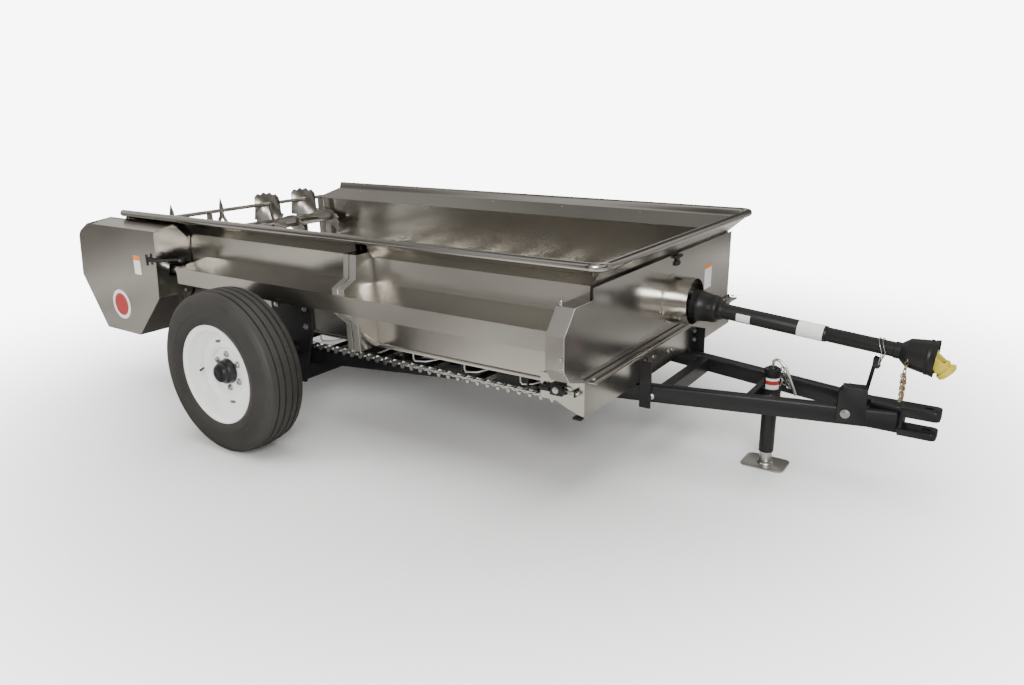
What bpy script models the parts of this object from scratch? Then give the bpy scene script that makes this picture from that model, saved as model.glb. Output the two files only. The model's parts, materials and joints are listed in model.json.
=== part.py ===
"""A towed manure spreader with a stainless box, a floor conveyor and one rear beater.

Metres. X points forwards to the hitch, Y to the left, Z up. Every X below is counted from the
wheel axle; the last step shifts the whole machine so that the middle of its length is at zero.
"""

import math

import bmesh
import bpy
from mathutils import Matrix, Vector

# Overall
GAP = 0.0003
CLEAR = 0.005

# Box
BOX_HALF_WIDTH = 0.668
BOX_FRONT_X = 1.50
BOX_REAR_X = -1.238
WALL_BOTTOM_Z = 0.434
CREASE_Z = 0.805
RIM_Z = 0.869
FLARE = 0.064
SHEET = 0.003
RIM_RADIUS = 0.015
FLOOR_TOP_Z = 0.508
FRONT_WALL_FOOT_X = 1.345
FRONT_WALL_FOOT_Z = 0.538

# Side channels, braces
CHANNEL_Y = 0.840
CHANNEL_TOP_Z = 0.703
CHANNEL_BAND_TOP_Z = 0.680
CHANNEL_BAND_BOTTOM_Z = 0.608
CHANNEL_BOTTOM_Z = 0.592
CHANNEL_FRONT_X = 1.44
CHANNEL_REAR_X = -0.567
BRACE_X = 0.438
BRACE_WIDTH = 0.067

# Conveyor
SPROCKET_Z = 0.440
IDLER_X = 1.400
DRIVE_X = -1.000
CHAIN_THICK = 0.012
CHAIN_WIDTH = 0.030
CHAIN_Y = 0.628
SLAT_HEIGHT = 0.022
SLAT_WIDTH = 0.045
SLAT_COUNT = 9
SHAFT_RADIUS = 0.0125

# Drawbar frame
RAIL_TOP_Z = 0.3325
RAIL_HEIGHT = 0.0655
RAIL_WIDTH = 0.050
RAIL_WALL = 0.006
RAIL_FRONT_X = 2.39
RAIL_FRONT_Y = 0.037
RAIL_REAR_X = -0.07
RAIL_REAR_Y = 0.622
CLEVIS_END_X = 2.52
CLEVIS_HALF_WIDTH = 0.040
CLEVIS_PIN_X = 2.480
CLEVIS_PIN_RADIUS = 0.014

# Wheels
TYRE_RADIUS = 0.343
TYRE_HALF_WIDTH = 0.0985
TRACK_HALF = 1.0115
RIM_FLANGE_RADIUS = 0.209
SPINDLE_RADIUS = 0.020
AXLE_BEAM = 0.070
BRACKET_THICK = 0.012

# Beater
BEATER_X = -1.155
BEATER_Z = 0.695
BEATER_RADIUS = 0.195
BEATER_BAR_RADIUS = 0.125
BEATER_SHAFT_RADIUS = 0.022
BEATER_HALF_LENGTH = 0.630

# Covers
COVER_Y = 0.855
COVER_SHEET = 0.0025
GUARD_RADIUS = 0.095
GUARD_Z = 0.622
GUARD_END_X = 1.603
FRONT_COVER_BOTTOM_Z = 0.4803
FRONT_COVER_TOP_Z = 0.800

# Drive shaft to the tractor
PTO_START_X = 1.60
PTO_START_Z = 0.610
PTO_SLOPE = 0.088
PTO_OUTER_RADIUS = 0.030
PTO_INNER_RADIUS = 0.027
PTO_OUTER_END = 0.515
PTO_CONE_END = 0.883
PTO_JOINT = 0.875
YOKE_DROOP = math.radians(45)
YOKE_LENGTH = 0.072
YOKE_RADIUS = 0.034

# Jack
JACK_X = 1.930
JACK_TUBE_RADIUS = 0.0285
JACK_LEG_RADIUS = 0.0235
JACK_TUBE_BOTTOM_Z = 0.056
JACK_TUBE_TOP_Z = 0.400
JACK_FOOT = 0.170

# The middle of the whole length, from the rear cover to the tip of the hanging yoke
COVER_REAR_X = -1.355
FRONT_X = (
    PTO_START_X
    + PTO_JOINT / math.sqrt(1 + PTO_SLOPE**2)
    + YOKE_LENGTH * math.cos(YOKE_DROOP)
    + YOKE_RADIUS * math.sin(YOKE_DROOP)
)
HINGE_PIN_RADIUS = 0.0065
COVER_HINGE_X = COVER_REAR_X - HINGE_PIN_RADIUS - 0.0005
COVER_HINGE_Y = -(BOX_HALF_WIDTH + GAP + SHEET + CLEAR)
AXLE_X = -(FRONT_X + COVER_HINGE_X - HINGE_PIN_RADIUS) / 2

STEEL = "stainless"
BLACK = "black_paint"

COLOURS = {
    STEEL: ((0.55, 0.54, 0.52, 1), 1.0, 0.35),
    BLACK: ((0.02, 0.02, 0.022, 1), 0.2, 0.4),
    "white_paint": ((0.82, 0.82, 0.80, 1), 0.0, 0.35),
    "tyre_rubber": ((0.05, 0.05, 0.052, 1), 0.0, 0.8),
    "black_plastic": ((0.025, 0.025, 0.027, 1), 0.0, 0.5),
    "zinc": ((0.62, 0.62, 0.60, 1), 1.0, 0.4),
    "yellow_paint": ((0.75, 0.45, 0.04, 1), 0.1, 0.4),
}


def empty_scene():
    for item in list(bpy.data.objects):
        bpy.data.objects.remove(item, do_unlink=True)


def add_collection(name):
    made = bpy.data.collections.new(name)
    bpy.context.scene.collection.children.link(made)
    return made


def add_materials():
    made = {}
    for name, (colour, metallic, roughness) in COLOURS.items():
        material = bpy.data.materials.new(name)
        material.use_nodes = True
        shader = material.node_tree.nodes["Principled BSDF"]
        shader.inputs["Base Color"].default_value = colour
        shader.inputs["Metallic"].default_value = metallic
        shader.inputs["Roughness"].default_value = roughness
        material.diffuse_color = colour
        made[name] = material
    return made


empty_scene()
PARTS = add_collection("manure_spreader")
HELPERS = add_collection("helpers")
HELPERS.hide_render = True
MATERIALS = add_materials()


def helper_from(bm):
    """A finished bmesh as an object in the helper collection, closed and facing outwards."""
    bmesh.ops.remove_doubles(bm, verts=bm.verts, dist=1e-6)
    bmesh.ops.recalc_face_normals(bm, faces=bm.faces)
    mesh = bpy.data.meshes.new("shape")
    bm.to_mesh(mesh)
    bm.free()
    made = bpy.data.objects.new("shape", mesh)
    made.display_type = "WIRE"
    HELPERS.objects.link(made)
    return made


def baked(item, merge=1e-5):
    """The item's evaluated mesh as a new helper, in place of the item."""
    bpy.context.view_layer.update()
    graph = bpy.context.evaluated_depsgraph_get()
    mesh = bpy.data.meshes.new_from_object(item.evaluated_get(graph))
    mesh.transform(item.matrix_world)
    bpy.data.objects.remove(item, do_unlink=True)
    bm = bmesh.new()
    bm.from_mesh(mesh)
    bmesh.ops.remove_doubles(bm, verts=bm.verts, dist=merge)
    return helper_from(bm)


def moved(item, matrix):
    item.data.transform(matrix)
    if matrix.determinant() < 0:
        item.data.flip_normals()
    return item


def copied(item, matrix):
    made = bpy.data.objects.new("shape", item.data.copy())
    made.display_type = "WIRE"
    HELPERS.objects.link(made)
    return moved(made, matrix)


def joined(first, others, operation="UNION"):
    """Boolean of one helper with each of the others, which it uses up."""
    for other in others:
        modifier = first.modifiers.new("join", "BOOLEAN")
        modifier.operation = operation
        modifier.solver = "EXACT"
        modifier.object = other
        first = baked(first)
        bpy.data.objects.remove(other, do_unlink=True)
    return first


def cut(first, others):
    return joined(first, others, "DIFFERENCE")


def part(name, slot, item):
    """The helper becomes the named sub-part, with its material."""
    item.name = name
    item.data.name = name
    item.display_type = "TEXTURED"
    item.data.materials.clear()
    item.data.materials.append(MATERIALS[slot])
    HELPERS.objects.unlink(item)
    PARTS.objects.link(item)
    return item


def box(low, high):
    bm = bmesh.new()
    size = [b - a for a, b in zip(low, high)]
    middle = [(a + b) / 2 for a, b in zip(low, high)]
    matrix = Matrix.Translation(middle) @ Matrix.Diagonal((*size, 1))
    bmesh.ops.create_cube(bm, size=1, matrix=matrix)
    return helper_from(bm)


AXES = {
    "X": Matrix(((0, 0, 1, 0), (1, 0, 0, 0), (0, 1, 0, 0), (0, 0, 0, 1))),
    "Y": Matrix(((1, 0, 0, 0), (0, 0, -1, 0), (0, 1, 0, 0), (0, 0, 0, 1))),
    "Z": Matrix.Identity(4),
}


def slab(outline, axis, low, high):
    """A closed outline pushed along an axis: (y, z) along X, (x, z) along Y, (x, y) along Z."""
    curve = bpy.data.curves.new("outline", "CURVE")
    curve.dimensions = "2D"
    curve.fill_mode = "BOTH"
    curve.extrude = (high - low) / 2
    spline = curve.splines.new("POLY")
    spline.points.add(len(outline) - 1)
    for point, (u, v) in zip(spline.points, outline):
        point.co = (u, v, 0, 1)
    spline.use_cyclic_u = True
    item = bpy.data.objects.new("outline", curve)
    HELPERS.objects.link(item)
    centre = (low + high) / 2
    made = baked(item)
    matrix = AXES[axis]
    shift = {"X": (centre, 0, 0), "Y": (0, centre, 0), "Z": (0, 0, centre)}[axis]
    return moved(made, Matrix.Translation(shift) @ matrix)


def strip(points, thickness):
    """The outline of a bent sheet: the points, and the same line moved to its left side."""
    count = len(points)
    inner = []
    for i, point in enumerate(points):
        here = Vector(point)
        before = (here - Vector(points[i - 1])).normalized() if i else None
        after = (Vector(points[i + 1]) - here).normalized() if i < count - 1 else None
        first = before if before is not None else after
        second = after if after is not None else before
        normal = Vector((-first.y, first.x)) + Vector((-second.y, second.x))
        normal.normalize()
        reach = thickness / max(0.2, normal.dot(Vector((-first.y, first.x))))
        inner.append(tuple(here + normal * reach))
    return list(points) + inner[::-1]


def rod(start, end, radius, segments=20, end_radius=None):
    start = Vector(start)
    end = Vector(end)
    line = end - start
    turn = line.to_track_quat("Z", "Y").to_matrix().to_4x4()
    matrix = Matrix.Translation((start + end) / 2) @ turn
    bm = bmesh.new()
    bmesh.ops.create_cone(
        bm,
        cap_ends=True,
        segments=segments,
        radius1=radius,
        radius2=radius if end_radius is None else end_radius,
        depth=line.length,
        matrix=matrix,
    )
    return helper_from(bm)


def turned(profile, origin, direction, segments):
    """A closed (radius, distance) profile turned about a line from origin along direction."""
    mesh = bpy.data.meshes.new("profile")
    edges = [(i, (i + 1) % len(profile)) for i in range(len(profile))]
    if profile[0][0] == 0 and profile[-1][0] == 0:
        edges = edges[:-1]
    mesh.from_pydata([(r, 0, s) for r, s in profile], edges, [])
    item = bpy.data.objects.new("profile", mesh)
    HELPERS.objects.link(item)
    screw = item.modifiers.new("turn", "SCREW")
    screw.axis = "Z"
    screw.steps = segments
    screw.render_steps = segments
    screw.use_merge_vertices = True
    screw.merge_threshold = 0.0001
    made = baked(item)
    turn = Vector(direction).to_track_quat("Z", "Y").to_matrix().to_4x4()
    return moved(made, Matrix.Translation(origin) @ turn)


def bent_tube(points, radius, segments=3):
    curve = bpy.data.curves.new("path", "CURVE")
    curve.dimensions = "3D"
    curve.bevel_depth = radius
    curve.bevel_resolution = segments
    curve.use_fill_caps = True
    spline = curve.splines.new("POLY")
    spline.points.add(len(points) - 1)
    for point, place in zip(spline.points, points):
        point.co = (*place, 1)
    item = bpy.data.objects.new("path", curve)
    HELPERS.objects.link(item)
    return baked(item)


def corner_points(centre, radius, start, end, steps):
    found = []
    for i in range(steps + 1):
        angle = math.radians(start + (end - start) * i / steps)
        found.append((centre[0] + radius * math.cos(angle), centre[1] + radius * math.sin(angle)))
    return found


MIRROR = Matrix.Diagonal((1, -1, 1, 1))


# Box -----------------------------------------------------------------------------------------


def flare_cutters(side):
    """Cuts that mitre a side wall's flare at the front and slope it at the rear."""
    wall = BOX_HALF_WIDTH - SHEET
    out = BOX_HALF_WIDTH + FLARE + 0.02
    front = [
        (BOX_FRONT_X - 0.01 - GAP, wall - 0.0005),
        (BOX_FRONT_X - 0.01 - GAP + (out - wall), out),
        (BOX_FRONT_X + 0.2, out),
        (BOX_FRONT_X + 0.2, wall - 0.0005),
    ]
    front = [(x, side * y) for x, y in front]
    mitre = slab(front, "Z", CREASE_Z + 0.0005, RIM_Z + 0.1)
    rear = [
        (BOX_REAR_X, CREASE_Z),
        (BOX_REAR_X + 0.148 * 1.6, CREASE_Z + FLARE * 1.6),
        (BOX_REAR_X - 0.2, CREASE_Z + FLARE * 1.6),
        (BOX_REAR_X - 0.2, CREASE_Z),
    ]
    low, high = sorted((side * (wall - 0.05), side * (out + 0.05)))
    return [mitre, slab(rear, "Y", low, high)]


def side_wall(side):
    wall = BOX_HALF_WIDTH
    line = [(wall, WALL_BOTTOM_Z), (wall, CREASE_Z), (wall + FLARE, RIM_Z)]
    outline = [(side * y, z) for y, z in strip(line, SHEET)]
    made = slab(outline, "X", BOX_REAR_X, BOX_FRONT_X + FLARE)
    across = sorted((side * (wall - 0.05), side * (wall + 0.05)))
    cutters = flare_cutters(side)
    cutters.append(
        box(
            (BOX_FRONT_X - 0.01 - GAP, across[0], WALL_BOTTOM_Z - 0.1),
            (BOX_FRONT_X + 0.2, across[1], CREASE_Z + 0.001),
        )
    )
    cutters.append(
        box(
            (IDLER_X - 0.06, across[0], WALL_BOTTOM_Z - 0.05),
            (BOX_FRONT_X + 0.1, across[1], SPROCKET_Z + SHAFT_RADIUS + 0.01),
        )
    )
    for x, z, radius in (
        (DRIVE_X, SPROCKET_Z, SHAFT_RADIUS + GAP),
        (BEATER_X, BEATER_Z, BEATER_SHAFT_RADIUS + CLEAR),
    ):
        cutters.append(rod((x, across[0], z), (x, across[1], z), radius, 24))
    if side < 0:
        cutters.append(
            rod((CROSS_SHAFT_X, across[0], SIDE_SHAFT_Z), (CROSS_SHAFT_X, across[1], SIDE_SHAFT_Z), 0.024)
        )
    return cut(made, cutters)


CROSS_SHAFT_X = 1.465
SIDE_SHAFT_Z = 0.645
SIDE_SHAFT_Y = -0.760


def front_wall():
    """The sloping front of the box and the flare that stands over the front cover."""
    top = BOX_FRONT_X - 0.01
    line = [
        (top + FLARE, RIM_Z),
        (top, CREASE_Z),
        (FRONT_WALL_FOOT_X, FRONT_WALL_FOOT_Z),
    ]
    half = BOX_HALF_WIDTH + FLARE
    made = slab(strip(line, SHEET), "Y", -half, half)
    cutters = []
    inner = BOX_HALF_WIDTH - SHEET - GAP
    for side in (-1, 1):
        mitre = [
            (top - 0.5, inner),
            (top, inner),
            (top + FLARE + 0.02, inner + FLARE + 0.02),
            (top + FLARE + 0.02, half + 0.1),
            (top - 0.5, half + 0.1),
        ]
        cutters.append(slab([(x, side * y) for x, y in mitre], "Z", 0.3, 1.2))
    return cut(made, cutters)


def rim():
    """The round bead along the top of both sides and the front."""
    out = BOX_HALF_WIDTH + FLARE + 0.004
    front = BOX_FRONT_X - 0.01 + FLARE + 0.004
    z = RIM_Z + RIM_RADIUS + 0.003
    rear = BOX_REAR_X + 0.148
    bend = 0.04
    path = [(rear, -out)]
    path += corner_points((front - bend, -out + bend), bend, -90, 0, 5)
    path += corner_points((front - bend, out - bend), bend, 0, 90, 5)
    path.append((rear, out))
    return bent_tube([(x, y, z) for x, y in path], RIM_RADIUS, 2)


def floor():
    half = BOX_HALF_WIDTH - SHEET - GAP
    return box((DRIVE_X, -half, FLOOR_TOP_Z - SHEET), (IDLER_X - 0.01, half, FLOOR_TOP_Z))


def under_frame():
    """Longitudinal angles along both walls and the channels that carry the floor."""
    half = BOX_HALF_WIDTH - SHEET - GAP
    top = FLOOR_TOP_Z - SHEET - GAP
    rear = DRIVE_X + 0.10
    front = IDLER_X - 0.10
    made = box((rear, -half, top - 0.05), (front, -half + 0.008, top))
    others = [box((rear, half - 0.008, top - 0.05), (front, half, top))]
    bearer = [
        (0.0, top - 0.002),
        (0.0, top - 0.112),
        (0.040, top - 0.112),
        (0.040, top - 0.106),
        (0.006, top - 0.106),
        (0.006, top - 0.002),
    ]
    count = 8
    for i in range(count):
        x = rear + 0.03 + (front - rear - 0.06 - 0.04) * i / (count - 1)
        outline = [(x + u, v) for u, v in bearer]
        others.append(slab(outline, "Y", -half + 0.001, half - 0.001))
    return joined(made, others)


def side_channel(side):
    wall = BOX_HALF_WIDTH + 0.0008
    line = [
        (wall, CHANNEL_BOTTOM_Z),
        (CHANNEL_Y, CHANNEL_BAND_BOTTOM_Z),
        (CHANNEL_Y, CHANNEL_BAND_TOP_Z),
        (wall, CHANNEL_TOP_Z),
    ]
    outline = strip(line, COVER_SHEET)
    return slab([(side * y, z) for y, z in outline], "X", CHANNEL_REAR_X, CHANNEL_FRONT_X)


def mid_brace(side):
    """A pressed stiffener that wraps the channel and reaches from the flare to the wall's foot."""
    wall = BOX_HALF_WIDTH + GAP
    outer = [
        (wall, CREASE_Z - 0.002),
        (wall + 0.062, CREASE_Z + 0.058),
        (wall + 0.108, 0.822),
        (wall + 0.112, 0.746),
        (CHANNEL_Y + 0.006, 0.712),
        (CHANNEL_Y + 0.006, 0.598),
        (wall + 0.104, 0.555),
        (wall + 0.104, 0.437),
        (wall, 0.437),
    ]
    inner = [
        (wall - 0.01, CREASE_Z - 0.02),
        (wall + 0.01, CREASE_Z - 0.005),
        (wall + 0.065, CREASE_Z + 0.045),
        (wall + 0.105, 0.819),
        (wall + 0.109, 0.744),
        (CHANNEL_Y + 0.003, 0.710),
        (CHANNEL_Y + 0.003, 0.600),
        (wall + 0.101, 0.557),
        (wall + 0.101, 0.440),
        (wall - 0.01, 0.440),
    ]
    notch = [
        (wall - 0.01, CHANNEL_BOTTOM_Z - 0.004),
        (CHANNEL_Y + GAP, CHANNEL_BAND_BOTTOM_Z - 0.003),
        (CHANNEL_Y + GAP, CHANNEL_BAND_TOP_Z + 0.002),
        (wall - 0.01, CHANNEL_TOP_Z + 0.004),
    ]
    made = slab([(side * y, z) for y, z in outer], "X", BRACE_X, BRACE_X + BRACE_WIDTH)
    hollow = slab(
        [(side * y, z) for y, z in inner],
        "X",
        BRACE_X + SHEET,
        BRACE_X + BRACE_WIDTH - SHEET,
    )
    passage = slab([(side * y, z) for y, z in notch], "X", BRACE_X - 0.1, BRACE_X + 0.2)
    return cut(made, [hollow, passage])


def lower_front():
    """The bent plate under the front cover: front, top flange and the two take-up cheeks."""
    half = 0.722
    front = BOX_FRONT_X
    made = box((front, -half, 0.349), (front + SHEET, half, 0.480))
    others = [box((front + 0.001, -0.708, 0.477), (front + 0.043, 0.708, 0.480))]
    cheek = [
        (1.327, 0.395),
        (1.388, 0.395),
        (1.440, 0.372),
        (front + 0.002, 0.352),
        (front + 0.002, 0.479),
        (front - 0.001, 0.479),
        (front - 0.001, 0.489),
        (1.327, 0.490),
    ]
    for side in (-1, 1):
        low, high = sorted((side * half, side * (half - SHEET)))
        others.append(slab(cheek, "Y", low, high))
        low, high = sorted((side * (half - 0.001), side * (BOX_HALF_WIDTH + GAP)))
        others.append(box((1.335, low, 0.486), (front - 0.01, high, 0.489)))
    made = joined(made, others)
    slots = []
    radius = SHAFT_RADIUS + 0.001
    for side in (-1, 1):
        low, high = sorted((side * (half - 0.02), side * (half + 0.02)))
        slots.append(
            box(
                (IDLER_X - 0.045, low, SPROCKET_Z - radius),
                (IDLER_X + 0.055, high, SPROCKET_Z + radius),
            )
        )
    return cut(made, slots)


def rear_sill():
    half = BOX_HALF_WIDTH - SHEET - GAP
    return box((BOX_REAR_X, -half, WALL_BOTTOM_Z), (BOX_REAR_X + 0.04, half, WALL_BOTTOM_Z + 0.04))


# Conveyor ------------------------------------------------------------------------------------


def chain_loop(radius):
    """A stadium outline about both sprocket centres."""
    points = []
    for i in range(13):
        angle = math.radians(-90 + 180 * i / 12)
        points.append((IDLER_X + radius * math.cos(angle), SPROCKET_Z + radius * math.sin(angle)))
    for i in range(13):
        angle = math.radians(90 + 180 * i / 12)
        points.append((DRIVE_X + radius * math.cos(angle), SPROCKET_Z + radius * math.sin(angle)))
    return points


def apron():
    """Two chain loops with the slats between them, as one fixed loop."""
    inner = FLOOR_TOP_Z + GAP - SPROCKET_Z
    loops = []
    for side in (-1, 1):
        low = side * CHAIN_Y - CHAIN_WIDTH / 2
        high = side * CHAIN_Y + CHAIN_WIDTH / 2
        loop = slab(chain_loop(inner + CHAIN_THICK), "Y", low, high)
        hole = slab(chain_loop(inner), "Y", low - 0.05, high + 0.05)
        loops.append(cut(loop, [hole]))
    length = IDLER_X - DRIVE_X - SLAT_WIDTH
    wall = 0.004
    profile = [
        (0.0, 0.0005),
        (wall, 0.0005),
        (wall, SLAT_HEIGHT - wall),
        (SLAT_WIDTH - wall, SLAT_HEIGHT - wall),
        (SLAT_WIDTH - wall, 0.0005),
        (SLAT_WIDTH, 0.0005),
        (SLAT_WIDTH, SLAT_HEIGHT),
        (0.0, SLAT_HEIGHT),
    ]
    slats = []
    for i in range(SLAT_COUNT):
        x = DRIVE_X + length * (i + 0.5) / SLAT_COUNT
        for way in (1, -1):
            outline = [(x + u, SPROCKET_Z + way * (inner + v)) for u, v in profile]
            slats.append(slab(outline, "Y", -CHAIN_Y, CHAIN_Y))
    return joined(loops[0], [loops[1]] + slats)


def conveyor_shaft(x, low, high, plates):
    """A cross shaft with a sprocket disc under each chain and any outer wheels."""
    made = rod((x, low, SPROCKET_Z), (x, high, SPROCKET_Z), SHAFT_RADIUS, 16)
    radius = FLOOR_TOP_Z - SHEET - SPROCKET_Z - 0.002
    others = []
    for side in (-1, 1):
        y = side * CHAIN_Y
        others.append(rod((x, y - 0.006, SPROCKET_Z), (x, y + 0.006, SPROCKET_Z), radius, 24))
    for y, wheel_radius in plates:
        others.append(
            rod((x, y - 0.006, SPROCKET_Z), (x, y + 0.006, SPROCKET_Z), wheel_radius, 28)
        )
    return joined(made, others)


# Drawbar frame -------------------------------------------------------------------------------

RAIL_SLOPE = (RAIL_REAR_Y - RAIL_FRONT_Y) / (RAIL_FRONT_X - RAIL_REAR_X)
RAIL_HALF_ACROSS = RAIL_WIDTH / 2 * math.sqrt(1 + RAIL_SLOPE**2)


def rail_y(x):
    return RAIL_FRONT_Y + RAIL_SLOPE * (RAIL_FRONT_X - x)


def rail(side):
    outline = []
    for x, offset in (
        (RAIL_FRONT_X, -1),
        (RAIL_REAR_X, -1),
        (RAIL_REAR_X, 1),
        (RAIL_FRONT_X, 1),
    ):
        outline.append((x, side * (rail_y(x) + offset * RAIL_HALF_ACROSS)))
    inside = []
    for x, offset in (
        (RAIL_FRONT_X + 0.1, -1),
        (RAIL_REAR_X - 0.1, -1),
        (RAIL_REAR_X - 0.1, 1),
        (RAIL_FRONT_X + 0.1, 1),
    ):
        inside.append((x, side * (rail_y(x) + offset * (RAIL_HALF_ACROSS - RAIL_WALL))))
    low = RAIL_TOP_Z - RAIL_HEIGHT
    made = slab(outline, "Z", low, RAIL_TOP_Z)
    return cut(made, [slab(inside, "Z", low + RAIL_WALL, RAIL_TOP_Z - RAIL_WALL)])


def between_rails(rear, front, low, high):
    """A cross member that stops just short of both rails."""
    outline = []
    for x, side in ((rear, -1), (front, -1), (front, 1), (rear, 1)):
        outline.append((x, side * (rail_y(x) - RAIL_HALF_ACROSS - GAP)))
    return slab(outline, "Z", low, high)


def cross_brace():
    return between_rails(1.56, 1.605, RAIL_TOP_Z - 0.060, RAIL_TOP_Z - 0.005)


def upright(side):
    """The angle that bolts a rail to the lower front plate."""
    front = BOX_FRONT_X + SHEET + GAP
    outer = rail_y(front) + RAIL_HALF_ACROSS + GAP
    low, high = sorted((side * (outer - 0.055), side * (outer + 0.006)))
    made = box((front, low, RAIL_TOP_Z + GAP), (front + 0.006, high, 0.435))
    low, high = sorted((side * outer, side * (outer + 0.006)))
    other = box((front, low, 0.246), (front + 0.047, high, 0.435))
    return joined(made, [other])


def rounded_tang(rear, end, half):
    points = [(rear, -half)]
    points += corner_points((end - half, 0), half, -90, 90, 10)
    points.append((rear, half))
    return points


def hitch_clevis():
    """The upper and lower tangs, joined by a web in front of the rails."""
    web = RAIL_FRONT_X + GAP
    rail_low = RAIL_TOP_Z - RAIL_HEIGHT
    half = CLEVIS_HALF_WIDTH
    pieces = [
        slab(rounded_tang(web, CLEVIS_END_X, half), "Z", 0.314, 0.349),
        slab(rounded_tang(web, CLEVIS_END_X - 0.005, half), "Z", 0.243, 0.270),
        box((web - 0.098, -half, RAIL_TOP_Z + GAP), (web + 0.001, half, 0.349)),
        box((web - 0.098, -half, 0.2505), (web + 0.001, half, rail_low - GAP)),
        box((web, -half, 0.2501), (web + 0.015, half, 0.3485)),
    ]
    made = joined(pieces[0], pieces[1:])
    hole = rod((CLEVIS_PIN_X, 0, 0.2), (CLEVIS_PIN_X, 0, 0.4), CLEVIS_PIN_RADIUS, 24)
    return cut(made, [hole])


# Axle and wheels -----------------------------------------------------------------------------


def axle_beam():
    half = AXLE_BEAM / 2
    top = RAIL_TOP_Z - RAIL_HEIGHT - GAP
    made = box((-half, -BOX_HALF_WIDTH, top - AXLE_BEAM), (half, BOX_HALF_WIDTH, top))
    half -= RAIL_WALL
    across = BOX_HALF_WIDTH + 0.1
    inside = box(
        (-half, -across, top - AXLE_BEAM + RAIL_WALL),
        (half, across, top - RAIL_WALL),
    )
    return cut(made, [inside])


def axle_bracket(side):
    """The plate between beam and wall, with the wheel's stub spindle."""
    low = RAIL_TOP_Z - RAIL_HEIGHT - AXLE_BEAM - 0.002
    outline = [
        (-0.055, low),
        (0.055, low),
        (0.100, 0.36),
        (0.125, WALL_BOTTOM_Z),
        (0.125, 0.575),
        (-0.125, 0.575),
        (-0.125, WALL_BOTTOM_Z),
        (-0.100, 0.36),
    ]
    near = BOX_HALF_WIDTH + GAP
    ends = sorted((side * near, side * (near + BRACKET_THICK)))
    made = slab(outline, "Y", *ends)
    z = TYRE_RADIUS
    face = side * (near + BRACKET_THICK - 0.002)
    others = [
        rod((0, face, z), (0, side * (TRACK_HALF - 0.11), z), 0.038, 20, 0.028),
        rod((0, face, z), (0, side * (TRACK_HALF + 0.035), z), SPINDLE_RADIUS, 20),
    ]
    return joined(made, others)


def wheel_rim(side):
    flange = RIM_FLANGE_RADIUS
    seat = flange - 0.019
    profile = [
        (0.0, 0.068),
        (0.038, 0.066),
        (0.045, 0.058),
        (0.045, 0.020),
        (0.100, 0.020),
        (0.115, 0.036),
        (0.140, 0.036),
        (0.155, 0.030),
        (flange - 0.041, 0.030),
        (flange - 0.041, 0.033),
        (seat - 0.004, 0.047),
        (seat - 0.004, 0.081),
        (flange, 0.085),
        (flange, 0.081),
        (seat, 0.077),
        (seat, 0.045),
        (flange - 0.037, 0.030),
        (flange - 0.037, -0.035),
        (seat, -0.050),
        (seat, -0.077),
        (flange, -0.081),
        (flange, -0.085),
        (seat - 0.004, -0.081),
        (seat - 0.004, -0.048),
        (flange - 0.041, -0.033),
        (flange - 0.041, 0.024),
        (0.153, 0.024),
        (0.142, 0.030),
        (0.113, 0.030),
        (0.098, 0.012),
        (0.050, 0.012),
        (0.050, -0.085),
        (SPINDLE_RADIUS + 0.0006, -0.085),
        (SPINDLE_RADIUS + 0.0006, 0.045),
        (0.0, 0.045),
    ]
    return turned(profile, (0, side * TRACK_HALF, TYRE_RADIUS), (0, side, 0), 48)


def tyre(side):
    outer = TYRE_RADIUS
    half = TYRE_HALF_WIDTH
    seat = RIM_FLANGE_RADIUS - 0.019 + GAP
    right = [
        (seat, 0.0),
        (seat, 0.0762),
        (RIM_FLANGE_RADIUS + 0.0006, 0.0800),
        (RIM_FLANGE_RADIUS + 0.0016, 0.0880),
        (0.235, half),
        (0.272, half),
        (0.310, half - 0.0065),
        (outer - 0.012, half - 0.024),
        (outer - 0.002, half - 0.052),
        (outer, 0.030),
        (outer, 0.0),
    ]
    left = [(r, -s) for r, s in right[1:-1]]
    profile = right + left[::-1]
    return turned(profile, (0, side * TRACK_HALF, TYRE_RADIUS), (0, side, 0), 56)


# Beater and its drive ------------------------------------------------------------------------


def beater():
    """Shaft, four spiders, four bars and the paddles, with its sprocket outside the right wall."""
    x, z = BEATER_X, BEATER_Z
    half = BEATER_HALF_LENGTH
    made = rod((x, -0.775, z), (x, 0.715, z), BEATER_SHAFT_RADIUS, 20)
    others = [rod((x, -0.752, z), (x, -0.740, z), 0.060, 24)]
    for y in (-half + 0.008, -half / 3, half / 3, half - 0.008):
        others.append(rod((x, y - 0.005, z), (x, y + 0.005, z), BEATER_BAR_RADIUS + 0.002, 16))
    for i in range(4):
        turn = Matrix.Rotation(math.radians(90 * i + 90), 4, "Y")
        place = Matrix.Translation((x, 0, z)) @ turn
        r = BEATER_BAR_RADIUS
        bar = box((r - 0.015, -half, -0.015), (r + 0.015, half, 0.015))
        others.append(moved(bar, place))
        for k in range(5):
            y = (k - 2) * 0.25 + (0.0625 if i % 2 else -0.0625)
            wide = 0.070 if k > 2 else 0.020
            low = r - 0.070 if k > 2 else r - 0.030
            blade = box((low, y - wide, -0.004), (BEATER_RADIUS, y + wide, 0.004))
            others.append(moved(blade, place))
    return joined(made, others)


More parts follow.
